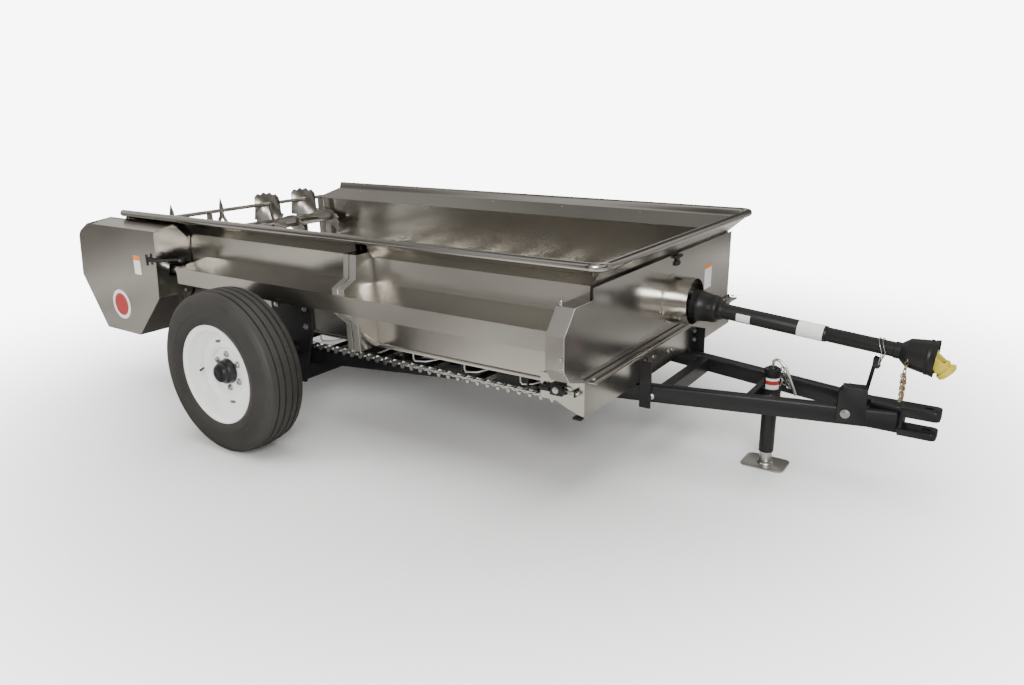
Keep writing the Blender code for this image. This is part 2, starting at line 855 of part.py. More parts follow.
def beater_bearing(side, face):
    """A flanged bearing, bolted on a flat face outside the wall."""
    r = BEATER_SHAFT_RADIUS
    ends = sorted((side * (face + GAP), side * (face + 0.008)))
    made = box((BEATER_X - 0.05, ends[0], BEATER_Z - 0.05), (BEATER_X + 0.05, ends[1], BEATER_Z + 0.05))
    barrel = rod(
        (BEATER_X, side * (face + 0.002), BEATER_Z),
        (BEATER_X, side * (face + 0.034), BEATER_Z),
        r + 0.020,
        20,
    )
    bore = rod(
        (BEATER_X, side * (face - 0.05), BEATER_Z),
        (BEATER_X, side * (face + 0.2), BEATER_Z),
        r + 0.0006,
        24,
    )
    return cut(joined(made, [barrel]), [bore])


COVER_OUTLINE = [
    (-1.200, 0.861),
    (-1.313, 0.797),
    (-1.331, 0.770),
    (COVER_REAR_X, 0.572),
    (-1.196, 0.312),
    (-0.913, 0.311),
    (-0.710, 0.521),
    (-0.681, 0.861),
]
BACKPLATE_OUTLINE = [
    (-1.236, 0.795),
    (-1.310, 0.775),
    (-1.322, 0.762),
    (-1.345, 0.575),
    (-1.190, 0.322),
    (-0.917, 0.321),
    (-0.720, 0.525),
    (-0.690, 0.795),
]


def inset(outline, by):
    """A convex outline pulled in by a distance, whichever way round it runs."""
    area = 0.0
    for (ax, ay), (bx, by_) in zip(outline, outline[1:] + outline[:1]):
        area += ax * by_ - bx * ay
    sign = 1 if area > 0 else -1
    found = []
    count = len(outline)
    for i in range(count):
        before = Vector(outline[i - 1])
        here = Vector(outline[i])
        after = Vector(outline[(i + 1) % count])
        first = (here - before).normalized()
        second = (after - here).normalized()
        normal = Vector((-first.y, first.x)) + Vector((-second.y, second.x))
        normal.normalize()
        reach = by / max(0.3, normal.dot(Vector((-first.y, first.x))))
        found.append(tuple(here + normal * reach * sign))
    return found


def drive_backplate():
    """The plate on the right wall that carries the drive and the cover's hinge pin."""
    near = -(BOX_HALF_WIDTH + GAP)
    made = slab(BACKPLATE_OUTLINE, "Y", near - SHEET, near)
    tab = box((COVER_HINGE_X, near - SHEET, 0.560), (COVER_HINGE_X + 0.040, near, 0.600))
    low = (COVER_HINGE_X, COVER_HINGE_Y, 0.520)
    high = (COVER_HINGE_X, COVER_HINGE_Y, 0.640)
    made = joined(made, [tab, rod(low, high, HINGE_PIN_RADIUS, 16)])
    cutters = []
    for x, z, radius in (
        (DRIVE_X, SPROCKET_Z, SHAFT_RADIUS + GAP),
        (BEATER_X, BEATER_Z, BEATER_SHAFT_RADIUS + CLEAR),
    ):
        cutters.append(rod((x, near - 0.05, z), (x, near + 0.05, z), radius, 24))
    return cut(made, cutters)


def rear_cover():
    """The box-shaped guard over the rear drive, open towards the wall."""
    near = -(BOX_HALF_WIDTH + GAP + SHEET + CLEAR)
    made = slab(COVER_OUTLINE, "Y", -COVER_Y, near)
    pocket = slab(inset(COVER_OUTLINE, COVER_SHEET), "Y", -COVER_Y + COVER_SHEET, near + 0.1)
    slope = [
        (-COVER_Y - 0.01, 0.837),
        (-0.745, 0.861),
        (-0.600, 0.861 + 0.03),
        (-0.600, 1.0),
        (-COVER_Y - 0.01, 1.0),
    ]
    under_flare = [
        (-0.748, 0.875),
        (-0.748, 0.858),
        (-0.668, 0.775),
        (-0.600, 0.775),
        (-0.600, 0.875),
    ]
    made = cut(made, [slab(slope, "X", -1.5, -0.5), slab(under_flare, "X", -1.5, -0.5)])
    lid_low = [
        (-COVER_Y + 0.001, 0.8345),
        (-0.749, 0.8560),
        (-0.749, 0.8590),
        (-COVER_Y + 0.001, 0.8380),
    ]
    shaft_notch = box((-0.76, -0.790, 0.617), (-0.64, -0.600, 0.673))
    made = cut(made, [pocket, shaft_notch])
    lid_x = inset(COVER_OUTLINE, COVER_SHEET / 2)
    lid = slab(lid_low, "X", lid_x[0][0] - 0.003, lid_x[-1][0])
    return joined(made, [lid])


def rear_gearbox():
    near = -(BOX_HALF_WIDTH + 2 * GAP + SHEET)
    made = box((-0.840, -0.800, 0.600), (-0.750, near, 0.700))
    stub = rod((-0.795, -0.765, 0.645), (-0.795, -0.835, 0.645), 0.030, 20)
    return joined(made, [stub])


def side_drive_shaft():
    x_rear = -0.750 + GAP
    made = rod(
        (x_rear, SIDE_SHAFT_Y, SIDE_SHAFT_Z), (CROSS_SHAFT_X - 0.0353, SIDE_SHAFT_Y, SIDE_SHAFT_Z), 0.0175, 16
    )
    return made


def cross_drive_shaft():
    """The cross shaft behind the front cover and the bevel box at its outer end."""
    y = SIDE_SHAFT_Y
    made = box((CROSS_SHAFT_X - 0.035, y - 0.035, 0.610), (CROSS_SHAFT_X + 0.027, y + 0.035, 0.680))
    shaft = rod((CROSS_SHAFT_X, y + 0.03, SIDE_SHAFT_Z), (CROSS_SHAFT_X, -0.0803, SIDE_SHAFT_Z), 0.015, 16)
    return joined(made, [shaft])


def front_gearbox():
    """The gearbox on the front wall with its input shaft inside the guard ring."""
    top = BOX_FRONT_X - 0.01

    def face(z):
        run = (top - FRONT_WALL_FOOT_X) / (CREASE_Z - FRONT_WALL_FOOT_Z)
        return FRONT_WALL_FOOT_X + run * (z - FRONT_WALL_FOOT_Z) + 0.0035 + GAP

    outline = [(face(0.562), 0.562), (1.493, 0.562), (1.493, 0.690), (face(0.690), 0.690)]
    made = slab(outline, "Y", -0.080, 0.080)
    shaft = rod((1.45, 0, PTO_START_Z), (1.575, 0, PTO_START_Z), 0.0175, 20)
    return joined(made, [shaft])


# Covers at the front -------------------------------------------------------------------------


def front_cover():
    """The front sheet with the hood over the cross drive on the right side."""
    x = BOX_FRONT_X
    outline = [
        (0.680, FRONT_COVER_BOTTOM_Z),
        (0.680, FRONT_COVER_TOP_Z),
        (-0.668, FRONT_COVER_TOP_Z),
        (-0.668, 0.757),
        (-0.792, 0.757),
        (-0.860, 0.673),
        (-0.862, 0.558),
        (-0.825, 0.511),
        (-0.728, FRONT_COVER_BOTTOM_Z),
    ]
    made = slab(outline, "X", x, x + COVER_SHEET)
    hood = [
        (-0.674, 0.757),
        (-0.792, 0.757),
        (-0.860, 0.673),
        (-0.862, 0.558),
        (-0.825, 0.511),
        (-0.742, 0.4905),
    ]
    skirt = slab(strip(hood, COVER_SHEET), "X", 1.432, x + 0.001)
    edge = box((1.470, 0.6775, 0.500), (x + 0.001, 0.680, FRONT_COVER_TOP_Z - 0.01))
    made = joined(made, [skirt, edge])
    hole = rod((x - 0.05, 0, GUARD_Z), (x + 0.05, 0, GUARD_Z), 0.088, 32)
    return cut(made, [hole])


def guard_ring():
    start = BOX_FRONT_X + COVER_SHEET + GAP
    length = GUARD_END_X - start
    profile = [
        (GUARD_RADIUS - COVER_SHEET, 0.0),
        (GUARD_RADIUS - COVER_SHEET, length),
        (GUARD_RADIUS, length),
        (GUARD_RADIUS, 0.004),
        (GUARD_RADIUS + 0.006, 0.004),
        (GUARD_RADIUS + 0.006, 0.0),
    ]
    return turned(profile, (start, 0, GUARD_Z), (1, 0, 0), 40)


# Drive shaft to the tractor ------------------------------------------------------------------

PTO_LINE = Vector((1, 0, -PTO_SLOPE)).normalized()
PTO_START = Vector((PTO_START_X, 0, PTO_START_Z))


def pto_point(distance):
    return PTO_START + PTO_LINE * distance


def pto_outer():
    """The rear half of the shield: cone over the inner joint, collar and outer tube."""
    bore = PTO_INNER_RADIUS + 0.0008
    profile = [
        (0.0, 0.130),
        (bore, 0.130),
        (bore, PTO_OUTER_END),
        (PTO_OUTER_RADIUS, PTO_OUTER_END),
        (PTO_OUTER_RADIUS, 0.108),
        (0.050, 0.102),
        (0.050, 0.088),
        (0.045, 0.082),
        (0.063, 0.0),
        (0.060, 0.0),
        (0.042, 0.080),
        (0.025, 0.084),
        (0.020, -0.012),
        (0.0, -0.0246),
    ]
    return turned(profile, PTO_START, PTO_LINE, 28)


def pto_inner():
    """The sliding half: inner tube and the cone over the tractor joint."""
    end = PTO_CONE_END
    profile = [
        (0.0, 0.200),
        (PTO_INNER_RADIUS, 0.200),
        (PTO_INNER_RADIUS, end - 0.080),
        (0.043, end - 0.075),
        (0.066, end),
        (0.063, end),
        (0.040, end - 0.070),
        (0.026, end - 0.067),
        (0.026, end - 0.050),
        (0.0, end - 0.050),
    ]
    return turned(profile, PTO_START, PTO_LINE, 28)


def pto_cross():
    """The rear fork and the cross of the tractor joint."""
    centre = pto_point(PTO_JOINT)
    start = pto_point(PTO_CONE_END - 0.050 + GAP)
    side = Vector((0, 1, 0))
    up = PTO_LINE.cross(side)
    made = rod(start, pto_point(PTO_JOINT - 0.020), 0.018, 20)
    pieces = [
        rod(centre - side * 0.0213, centre + side * 0.0213, 0.009, 16),
        rod(centre - up * 0.026, centre + up * 0.026, 0.009, 16),
    ]
    turn = Matrix.Translation(centre) @ PTO_LINE.to_track_quat("X", "Z").to_matrix().to_4x4()
    for low, high in ((-0.030, -0.014), (0.014, 0.030)):
        pieces.append(moved(box((-0.036, -0.012, low), (0.010, 0.012, high)), turn))
    return joined(made, pieces)


def pto_yoke():
    """The tractor-side fork with its splined collar, hanging at its stop."""
    centre = pto_point(PTO_JOINT)
    line = Vector((math.cos(YOKE_DROOP), 0, -math.sin(YOKE_DROOP)))
    turn = Matrix.Translation(centre) @ line.to_track_quat("X", "Z").to_matrix().to_4x4()
    collar = rod((0.040, 0, 0), (YOKE_LENGTH, 0, 0), YOKE_RADIUS, 28)
    arms = []
    for side in (-1, 1):
        low, high = sorted((side * 0.0218, side * 0.0330))
        arms.append(box((-0.014, low, -0.015), (0.045, high, 0.015)))
    made = joined(collar, arms)
    bore = rod((0.050, 0, 0), (YOKE_LENGTH + 0.05, 0, 0), 0.0175, 20)
    return moved(cut(made, [bore]), turn)


# Shaft stand, jack ---------------------------------------------------------------------------

STAND_X = 2.225
STAND_PIVOT = Vector((2.268, 0, 0.364))
STAND_TIP = Vector((2.291, 0, 0.482))


def stand_bracket():
    """The inverted U that straddles the right rail."""
    half = RAIL_WIDTH / 2 + GAP
    thick = 0.005
    made = box((-0.035, -half - thick, 0.400), (0.060, half + thick, 0.406))
    others = []
    for low, high in ((-half - thick, -half), (half, half + thick)):
        others.append(box((-0.035, low, 0.280), (0.060, high, 0.402)))
    made = joined(made, others)
    angle = math.atan(RAIL_SLOPE)
    place = Matrix.Translation((STAND_X, -rail_y(STAND_X), 0)) @ Matrix.Rotation(angle, 4, "Z")
    return moved(made, place)


def stand_rod():
    low = -(rail_y(STAND_PIVOT.x) - RAIL_HALF_ACROSS - 0.0072)
    pin = rod((STAND_PIVOT.x, low, STAND_PIVOT.z), (STAND_PIVOT.x, 0.004, STAND_PIVOT.z), 0.006, 12)
    line = rod(STAND_PIVOT, STAND_TIP, 0.0045, 12)
    knob = rod(STAND_TIP - Vector((0, 0, 0.012)), STAND_TIP + Vector((0, 0, 0.006)), 0.012, 16)
    return joined(pin, [line, knob])


def jack_mount():
    """The cross channel behind the jack and the collar that grips its tube."""
    low = RAIL_TOP_Z - 0.058
    high = RAIL_TOP_Z - 0.006
    made = between_rails(JACK_X - 0.056, JACK_X - 0.032, low, high)
    collar = rod((JACK_X, 0, low + 0.004), (JACK_X, 0, high - 0.004), JACK_TUBE_RADIUS + 0.008, 28)
    bore = rod((JACK_X, 0, low - 0.1), (JACK_X, 0, high + 0.1), JACK_TUBE_RADIUS + GAP, 28)
    return cut(joined(made, [collar]), [bore])


def jack_tube():
    radius = JACK_TUBE_RADIUS
    bore = JACK_LEG_RADIUS + 0.001
    profile = [
        (bore, JACK_TUBE_BOTTOM_Z),
        (radius, JACK_TUBE_BOTTOM_Z),
        (radius, JACK_TUBE_TOP_Z - 0.010),
        (radius + 0.003, JACK_TUBE_TOP_Z - 0.010),
        (radius + 0.003, JACK_TUBE_TOP_Z),
        (0.016, JACK_TUBE_TOP_Z + 0.008),
        (0.0, JACK_TUBE_TOP_Z + 0.008),
        (0.0, JACK_TUBE_TOP_Z - 0.012),
        (bore, JACK_TUBE_TOP_Z - 0.012),
    ]
    profile = profile[6::-1] + profile[:6:-1]
    return turned(profile, (JACK_X, 0, 0), (0, 0, 1), 28)


def jack_leg():
    half = JACK_FOOT / 2
    corner = 0.025
    across = 0.065
    outline = []
    for cx, cy, start in (
        (half - corner, across - corner, 0),
        (-half + corner, across - corner, 90),
        (-half + corner, -across + corner, 180),
        (half - corner, -across + corner, 270),
    ):
        outline += corner_points((JACK_X + cx, cy), corner, start, start + 90, 4)
    made = slab(outline, "Z", 0.0, 0.008)
    leg = rod((JACK_X, 0, 0.006), (JACK_X, 0, 0.335), JACK_LEG_RADIUS, 24)
    return joined(made, [leg])


def jack_crank():
    top = JACK_TUBE_TOP_Z + 0.008 + GAP
    path = [
        (JACK_X, 0, top),
        (JACK_X, 0, top + 0.024),
        (JACK_X + 0.012, 0, top + 0.030),
        (JACK_X + 0.050, 0, top + 0.004),
        (JACK_X + 0.094, 0, 0.307),
    ]
    return bent_tube(path, 0.006, 2)


# Assembly ------------------------------------------------------------------------------------


def build():
    for side, word in ((-1, "right"), (1, "left")):
        part(f"side_wall_{word}", STEEL, side_wall(side))
        part(f"side_channel_{word}", STEEL, side_channel(side))
        part(f"mid_brace_{word}", STEEL, mid_brace(side))
        part(f"rail_{word}", BLACK, rail(side))
        part(f"upright_{word}", BLACK, upright(side))
        part(f"axle_bracket_{word}", BLACK, axle_bracket(side))
        part(f"wheel_rim_{word}", "white_paint", wheel_rim(side))
        part(f"tyre_{word}", "tyre_rubber", tyre(side))
    part("front_wall", STEEL, front_wall())
    part("rim_bead", STEEL, rim())
    part("floor", STEEL, floor())
    part("under_frame", BLACK, under_frame())
    part("lower_front_plate", STEEL, lower_front())
    part("rear_sill", STEEL, rear_sill())
    part("apron", "zinc", apron())
    part("idler_shaft", "zinc", conveyor_shaft(IDLER_X, -0.745, 0.745, ()))
    part("apron_drive_shaft", "zinc", conveyor_shaft(DRIVE_X, -0.800, 0.700, ((-0.785, 0.105),)))
    part("cross_brace", BLACK, cross_brace())
    part("hitch_clevis", BLACK, hitch_clevis())
    part("axle_beam", BLACK, axle_beam())
    part("beater", STEEL, beater())
    part("beater_bearing_right", BLACK, beater_bearing(-1, BOX_HALF_WIDTH + GAP + SHEET))
    part("beater_bearing_left", BLACK, beater_bearing(1, BOX_HALF_WIDTH))
    part("drive_backplate", STEEL, drive_backplate())
    part("rear_cover", STEEL, rear_cover())
    part("rear_gearbox", BLACK, rear_gearbox())
    part("side_drive_shaft", "zinc", side_drive_shaft())
    part("cross_drive_shaft", "zinc", cross_drive_shaft())
    part("front_gearbox", BLACK, front_gearbox())
    part("front_cover", STEEL, front_cover())
    part("guard_ring", STEEL, guard_ring())
    part("pto_outer", "black_plastic", pto_outer())
    part("pto_inner", "black_plastic", pto_inner())
    part("pto_cross", "zinc", pto_cross())
    part("pto_yoke", "yellow_paint", pto_yoke())
    part("stand_bracket", BLACK, stand_bracket())
    part("stand_rod", "zinc", stand_rod())
    part("jack_mount", BLACK, jack_mount())
    part("jack_tube", BLACK, jack_tube())
    part("jack_leg", "zinc", jack_leg())
    part("jack_crank", "zinc", jack_crank())
    for item in PARTS.objects:
        item.data.transform(Matrix.Translation((AXLE_X, 0, 0)))


build()
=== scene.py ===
"""The looks of a towed manure spreader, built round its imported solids.

Each sub-assembly is one dataclass whose ``build`` models its pieces with the shared ``Shop``.
Lengths are metres. X is counted from the wheel axle while a piece is modelled, and every finished
piece is shifted by ``AXLE_X`` into the frame's own coordinates.
"""

from __future__ import annotations

import json
import logging
from collections.abc import Sequence
from dataclasses import dataclass
from enum import Enum
from math import atan, cos, pi, radians, sin, sqrt, tau

import bpy
from mathutils import Matrix, Vector

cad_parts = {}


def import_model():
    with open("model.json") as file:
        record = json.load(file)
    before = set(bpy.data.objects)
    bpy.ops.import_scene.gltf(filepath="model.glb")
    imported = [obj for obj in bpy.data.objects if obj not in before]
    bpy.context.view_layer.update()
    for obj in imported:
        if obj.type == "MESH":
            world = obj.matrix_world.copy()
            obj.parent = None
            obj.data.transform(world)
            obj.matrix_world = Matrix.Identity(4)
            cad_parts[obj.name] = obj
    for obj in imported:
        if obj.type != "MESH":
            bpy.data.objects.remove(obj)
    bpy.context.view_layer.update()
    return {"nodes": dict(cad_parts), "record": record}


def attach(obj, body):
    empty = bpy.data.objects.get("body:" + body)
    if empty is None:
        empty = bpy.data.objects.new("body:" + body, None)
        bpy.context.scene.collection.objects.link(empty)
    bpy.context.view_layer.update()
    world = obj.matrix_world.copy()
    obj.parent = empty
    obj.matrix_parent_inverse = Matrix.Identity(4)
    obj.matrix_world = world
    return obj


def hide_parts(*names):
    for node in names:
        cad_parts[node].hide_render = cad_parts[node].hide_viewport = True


log = logging.getLogger("manure_spreader")

Point = tuple[float, float, float]
Flat = tuple[float, float]
Piece = bpy.types.Object
Input = float | Sequence[float] | bpy.types.NodeSocket

AXLE_X = -0.58904243509


class Slot(Enum):
    """Material slots of the record."""

    STEEL = "stainless"
    BLACK = "black_paint"
    WHITE = "white_paint"
    TYRE = "tyre_rubber"
    PLASTIC = "black_plastic"
    ZINC = "zinc"
    YELLOW = "yellow_paint"


class Body(Enum):
    """Rigid bodies of the frame."""

    CHASSIS = "chassis"
    WHEEL_RIGHT = "wheel_right"
    WHEEL_LEFT = "wheel_left"
    BEATER = "beater"
    REAR_COVER = "rear_cover"
    FRONT_COVER = "front_cover"
    PTO_SLIDE = "pto_slide"
    PTO_JOINT = "pto_joint"
    PTO_YOKE = "pto_yoke"
    STAND = "shaft_stand"
    JACK_LEG = "jack_leg"


@dataclass(frozen=True)
class Finish:
    """How one surface looks.

    Args:
        name: Material name.
        slot: Record slot it belongs to.
        colour: Linear base colour.
        metallic: 0 or 1, or between for a thin coat.
        roughness: Mean roughness.
        grain: Stretch of the brushed grain along X, Y and Z; zero for none.
        mottle: Strength of broad colour and roughness variation.
        bump: Height of the fine surface relief in metres.
        bump_scale: Noise scale of that relief.
        coat: Weight of the clear coat.
        specular: Specular level of a surface that isn't metal.
    """

    name: str
    slot: Slot
    colour: tuple[float, float, float]
    metallic: float
    roughness: float
    grain: tuple[float, float, float] = (0.0, 0.0, 0.0)
    mottle: float = 0.1
    bump: float = 0.0
    bump_scale: float = 200.0
    coat: float = 0.0
    specular: float = 0.5


SHEET_X = Finish("sheet_long", Slot.STEEL, (0.56, 0.54, 0.5), 1.0, 0.22, (3, 90, 420), 0.2, 0.0002)
SHEET_Y = Finish("sheet_cross", Slot.STEEL, (0.56, 0.54, 0.5), 1.0, 0.22, (90, 3, 420), 0.2, 0.0002)
SHEET_Z = Finish("sheet_upright", Slot.STEEL, (0.52, 0.5, 0.47), 1.0, 0.19, (420, 90, 3), 0.2, 0.0002)
# Pale steel for the wire loops and brace faces. The same colour is also laid on as thin painted highlight lines along
# the front cover's fold and the ledge's front edge.
BRIGHT_AND_HIGHLIGHT = Finish("bright_steel_and_painted_highlight", Slot.STEEL, (0.74, 0.72, 0.69), 1.0, 0.46, (0, 0, 0), 0.25, 0.0004, 120)
ROLLED = Finish("rolled_steel", Slot.STEEL, (0.52, 0.5, 0.47), 1.0, 0.16, (3, 40, 40), 0.12, 0.0001)
CAST = Finish("beater_steel", Slot.STEEL, (0.42, 0.4, 0.37), 1.0, 0.32, (0, 0, 0), 0.3, 0.0006, 90)
BLACK = Finish("black_satin", Slot.BLACK, (0.01, 0.01, 0.011), 0.0, 0.34, (0, 0, 0), 0.12, 0.0003, 260, 0.0, 0.4)
WHITE = Finish("white_gloss", Slot.WHITE, (0.88, 0.88, 0.87), 0.0, 0.3, (0, 0, 0), 0.05, 0.0002, 160, 0.3)
RUBBER = Finish("tyre_rubber_worn", Slot.TYRE, (0.031, 0.029, 0.026), 0.0, 0.56, (0, 0, 0), 1.0, 0.0012, 150)
PLASTIC = Finish(
    "shield_plastic", Slot.PLASTIC, (0.011, 0.011, 0.011), 0.0, 0.4, (0, 0, 0), 0.1, 0.0004, 300, 0.0, 0.35
)
# Black rubber for the latches, valve stems and knob. The same black also forms a strip of painted shadow under the
# front cover.
RUBBER_AND_SHADOW = Finish("rubber_and_painted_shadow", Slot.PLASTIC, (0.015, 0.015, 0.016), 0.0, 0.6, (0, 0, 0), 0.1, 0.0004, 400)
LABEL = Finish("blank_label", Slot.PLASTIC, (0.78, 0.78, 0.76), 0.0, 0.35, (0, 0, 0), 0.03)
ORANGE = Finish("orange_band", Slot.PLASTIC, (0.75, 0.22, 0.03), 0.0, 0.35, (0, 0, 0), 0.03)
RED = Finish("red_ring", Slot.PLASTIC, (0.36, 0.03, 0.03), 0.0, 0.35, (0, 0, 0), 0.03)
ZINC = Finish("zinc_plate", Slot.ZINC, (0.6, 0.6, 0.58), 1.0, 0.3, (0, 0, 0), 0.2, 0.0003, 200)
GALV = Finish("foot_galvanised", Slot.ZINC, (0.55, 0.54, 0.51), 1.0, 0.38, (0, 0, 0), 0.3, 0.0005, 60)
PASSIVE = Finish("yellow_zinc", Slot.ZINC, (0.54, 0.42, 0.27), 1.0, 0.36, (0, 0, 0), 0.3, 0.0002, 300)
YELLOW = Finish("yoke_yellow", Slot.YELLOW, (0.56, 0.45, 0.035), 0.0, 0.4, (0, 0, 0), 0.5, 0.0008, 110)

BASE_FINISH: dict[Slot, Finish] = {
    Slot.STEEL: SHEET_X, Slot.BLACK: BLACK, Slot.WHITE: WHITE, Slot.TYRE: RUBBER, Slot.PLASTIC: PLASTIC,
    Slot.ZINC: ZINC, Slot.YELLOW: YELLOW,
}


class Graph:
    """Adds shader nodes to a tree and wires them."""

    def __init__(self, tree: bpy.types.NodeTree) -> None:
        self.tree = tree

    def add(
        self, kind: str, inputs: dict[int | str, Input] | None = None,
        **settings: str | bool | bpy.types.NodeTree,
    ) -> bpy.types.Node:
        """A shader node with its settings and inputs.

        Args:
            kind: Node type, less its "ShaderNode".
            inputs: For an input's name or number, its value or the output it is wired to.
            settings: Properties of the node.

        Returns:
            The node.
        """
        node = self.tree.nodes.new(f"ShaderNode{kind}")
        for name, value in settings.items():
            setattr(node, name, value)
        for key, value in (inputs or {}).items():
            self.put(node.inputs[key], value)
        return node

    def put(self, socket: bpy.types.NodeSocket, value: Input) -> None:
        """Wires an input to an output, or gives it a value."""
        if isinstance(value, bpy.types.NodeSocket):
            self.tree.links.new(value, socket)
        else:
            socket.default_value = value

    def maths(self, operation: str, *inputs: Input, kind: str = "Math") -> bpy.types.NodeSocket:
        """The result of a sum on one to three inputs."""
        return self.add(kind, dict(enumerate(inputs)), operation=operation).outputs[0]

    def scaled(self, vector: Input, scale: bpy.types.NodeSocket) -> bpy.types.NodeSocket:
        """A vector times a number."""
        return self.add("VectorMath", {0: vector, "Scale": scale}, operation="SCALE").outputs[0]

    def noise(self, vector: bpy.types.NodeSocket, scale: float, detail: float) -> bpy.types.NodeSocket:
        """Fractal noise."""
        return self.add("TexNoise", {"Vector": vector, "Scale": scale, "Detail": detail}).outputs["Fac"]

    def shade(self, inputs: dict[str, Input]) -> None:
        """Gives the tree's Principled BSDF its values and wires."""
        for name, value in inputs.items():
            self.put(self.tree.nodes["Principled BSDF"].inputs[name], value)

    def coords(self, space: str = "Object") -> bpy.types.NodeSocket:
        """Texture coordinates."""
        return self.add("TexCoord").outputs[space]


class Paint:
    """Builds one material per finish, from two shared node groups."""

    def __init__(self) -> None:
        self._made: dict[str, bpy.types.Material] = {}
        self._grain = self._grain_group()
        self._wear = self._wear_group()

    @staticmethod
    def _group(name: str, label: str, kind: str, *results: str) -> tuple[Graph, bpy.types.Node, bpy.types.Node]:
        """A node group with one input, and a number for each result; its graph and its two ends."""
        tree = bpy.data.node_groups.new(name, "ShaderNodeTree")
        tree.interface.new_socket(name=label, in_out="INPUT", socket_type=kind)
        for result in results:
            tree.interface.new_socket(name=result, in_out="OUTPUT", socket_type="NodeSocketFloat")
        return Graph(tree), tree.nodes.new("NodeGroupInput"), tree.nodes.new("NodeGroupOutput")

    def _grain_group(self) -> bpy.types.NodeTree:
        """Brushed grain: noise stretched along the rolling direction, with a few deeper scratches."""
        graph, enter, leave = self._group("brushed_grain", "Stretch", "NodeSocketVector", "Height")
        along = graph.maths("MULTIPLY", graph.coords(), enter.outputs[0], kind="VectorMath")
        fine, coarse = graph.noise(along, 1.0, 4.0), graph.noise(along, 0.22, 2.0)
        graph.put(leave.inputs["Height"], graph.maths("MULTIPLY_ADD", coarse, 0.6, fine))
        return graph.tree

    def _wear_group(self) -> bpy.types.NodeTree:
        """Broad smudges: a factor near 1 that dulls and darkens patches a little."""
        graph, enter, leave = self._group("broad_wear", "Amount", "NodeSocketFloat", "Tone", "Dull")
        coords = graph.coords()
        mixed = graph.maths("MULTIPLY_ADD", graph.noise(coords, 24.0, 3.0), 0.35, graph.noise(coords, 2.3, 6.0))
        dull = graph.maths("MULTIPLY", graph.maths("SUBTRACT", mixed, 0.67), enter.outputs[0])
        graph.put(leave.inputs["Dull"], dull)
        graph.put(leave.inputs["Tone"], graph.maths("ADD", dull, 1.0))
        return graph.tree

    def material(self, finish: Finish) -> bpy.types.Material:
        """The finish's material, made on first use.

        Args:
            finish: The look wanted.

        Returns:
            A Principled BSDF material.
        """
        if finish.name in self._made:
            return self._made[finish.name]
        material = bpy.data.materials.new(finish.name)
        material.use_nodes = True
        graph = Graph(material.node_tree)
        wear = graph.add("Group", node_tree=self._wear)
        wear.inputs["Amount"].default_value = finish.mottle
        rough = {0: wear.outputs["Dull"], 1: 0.6, 2: finish.roughness}
        looks: dict[str, Input] = {
            "Metallic": finish.metallic, "Coat Weight": finish.coat, "Specular IOR Level": finish.specular,
            "Base Color": graph.scaled(finish.colour, wear.outputs["Tone"]),
            "Roughness": graph.add("Math", rough, operation="MULTIPLY_ADD", use_clamp=True).outputs[0],
        }
        if finish.bump:
            if any(finish.grain):
                height = graph.add("Group", node_tree=self._grain)
                height.inputs["Stretch"].default_value = finish.grain
                relief = height.outputs["Height"]
            else:
                relief = graph.noise(graph.coords(), finish.bump_scale, 3.0)
            bump = graph.add("Bump", {"Distance": finish.bump, "Strength": 0.35, "Height": relief})
            looks["Normal"] = bump.outputs["Normal"]
        graph.shade(looks)
        self._made[finish.name] = material
        return material


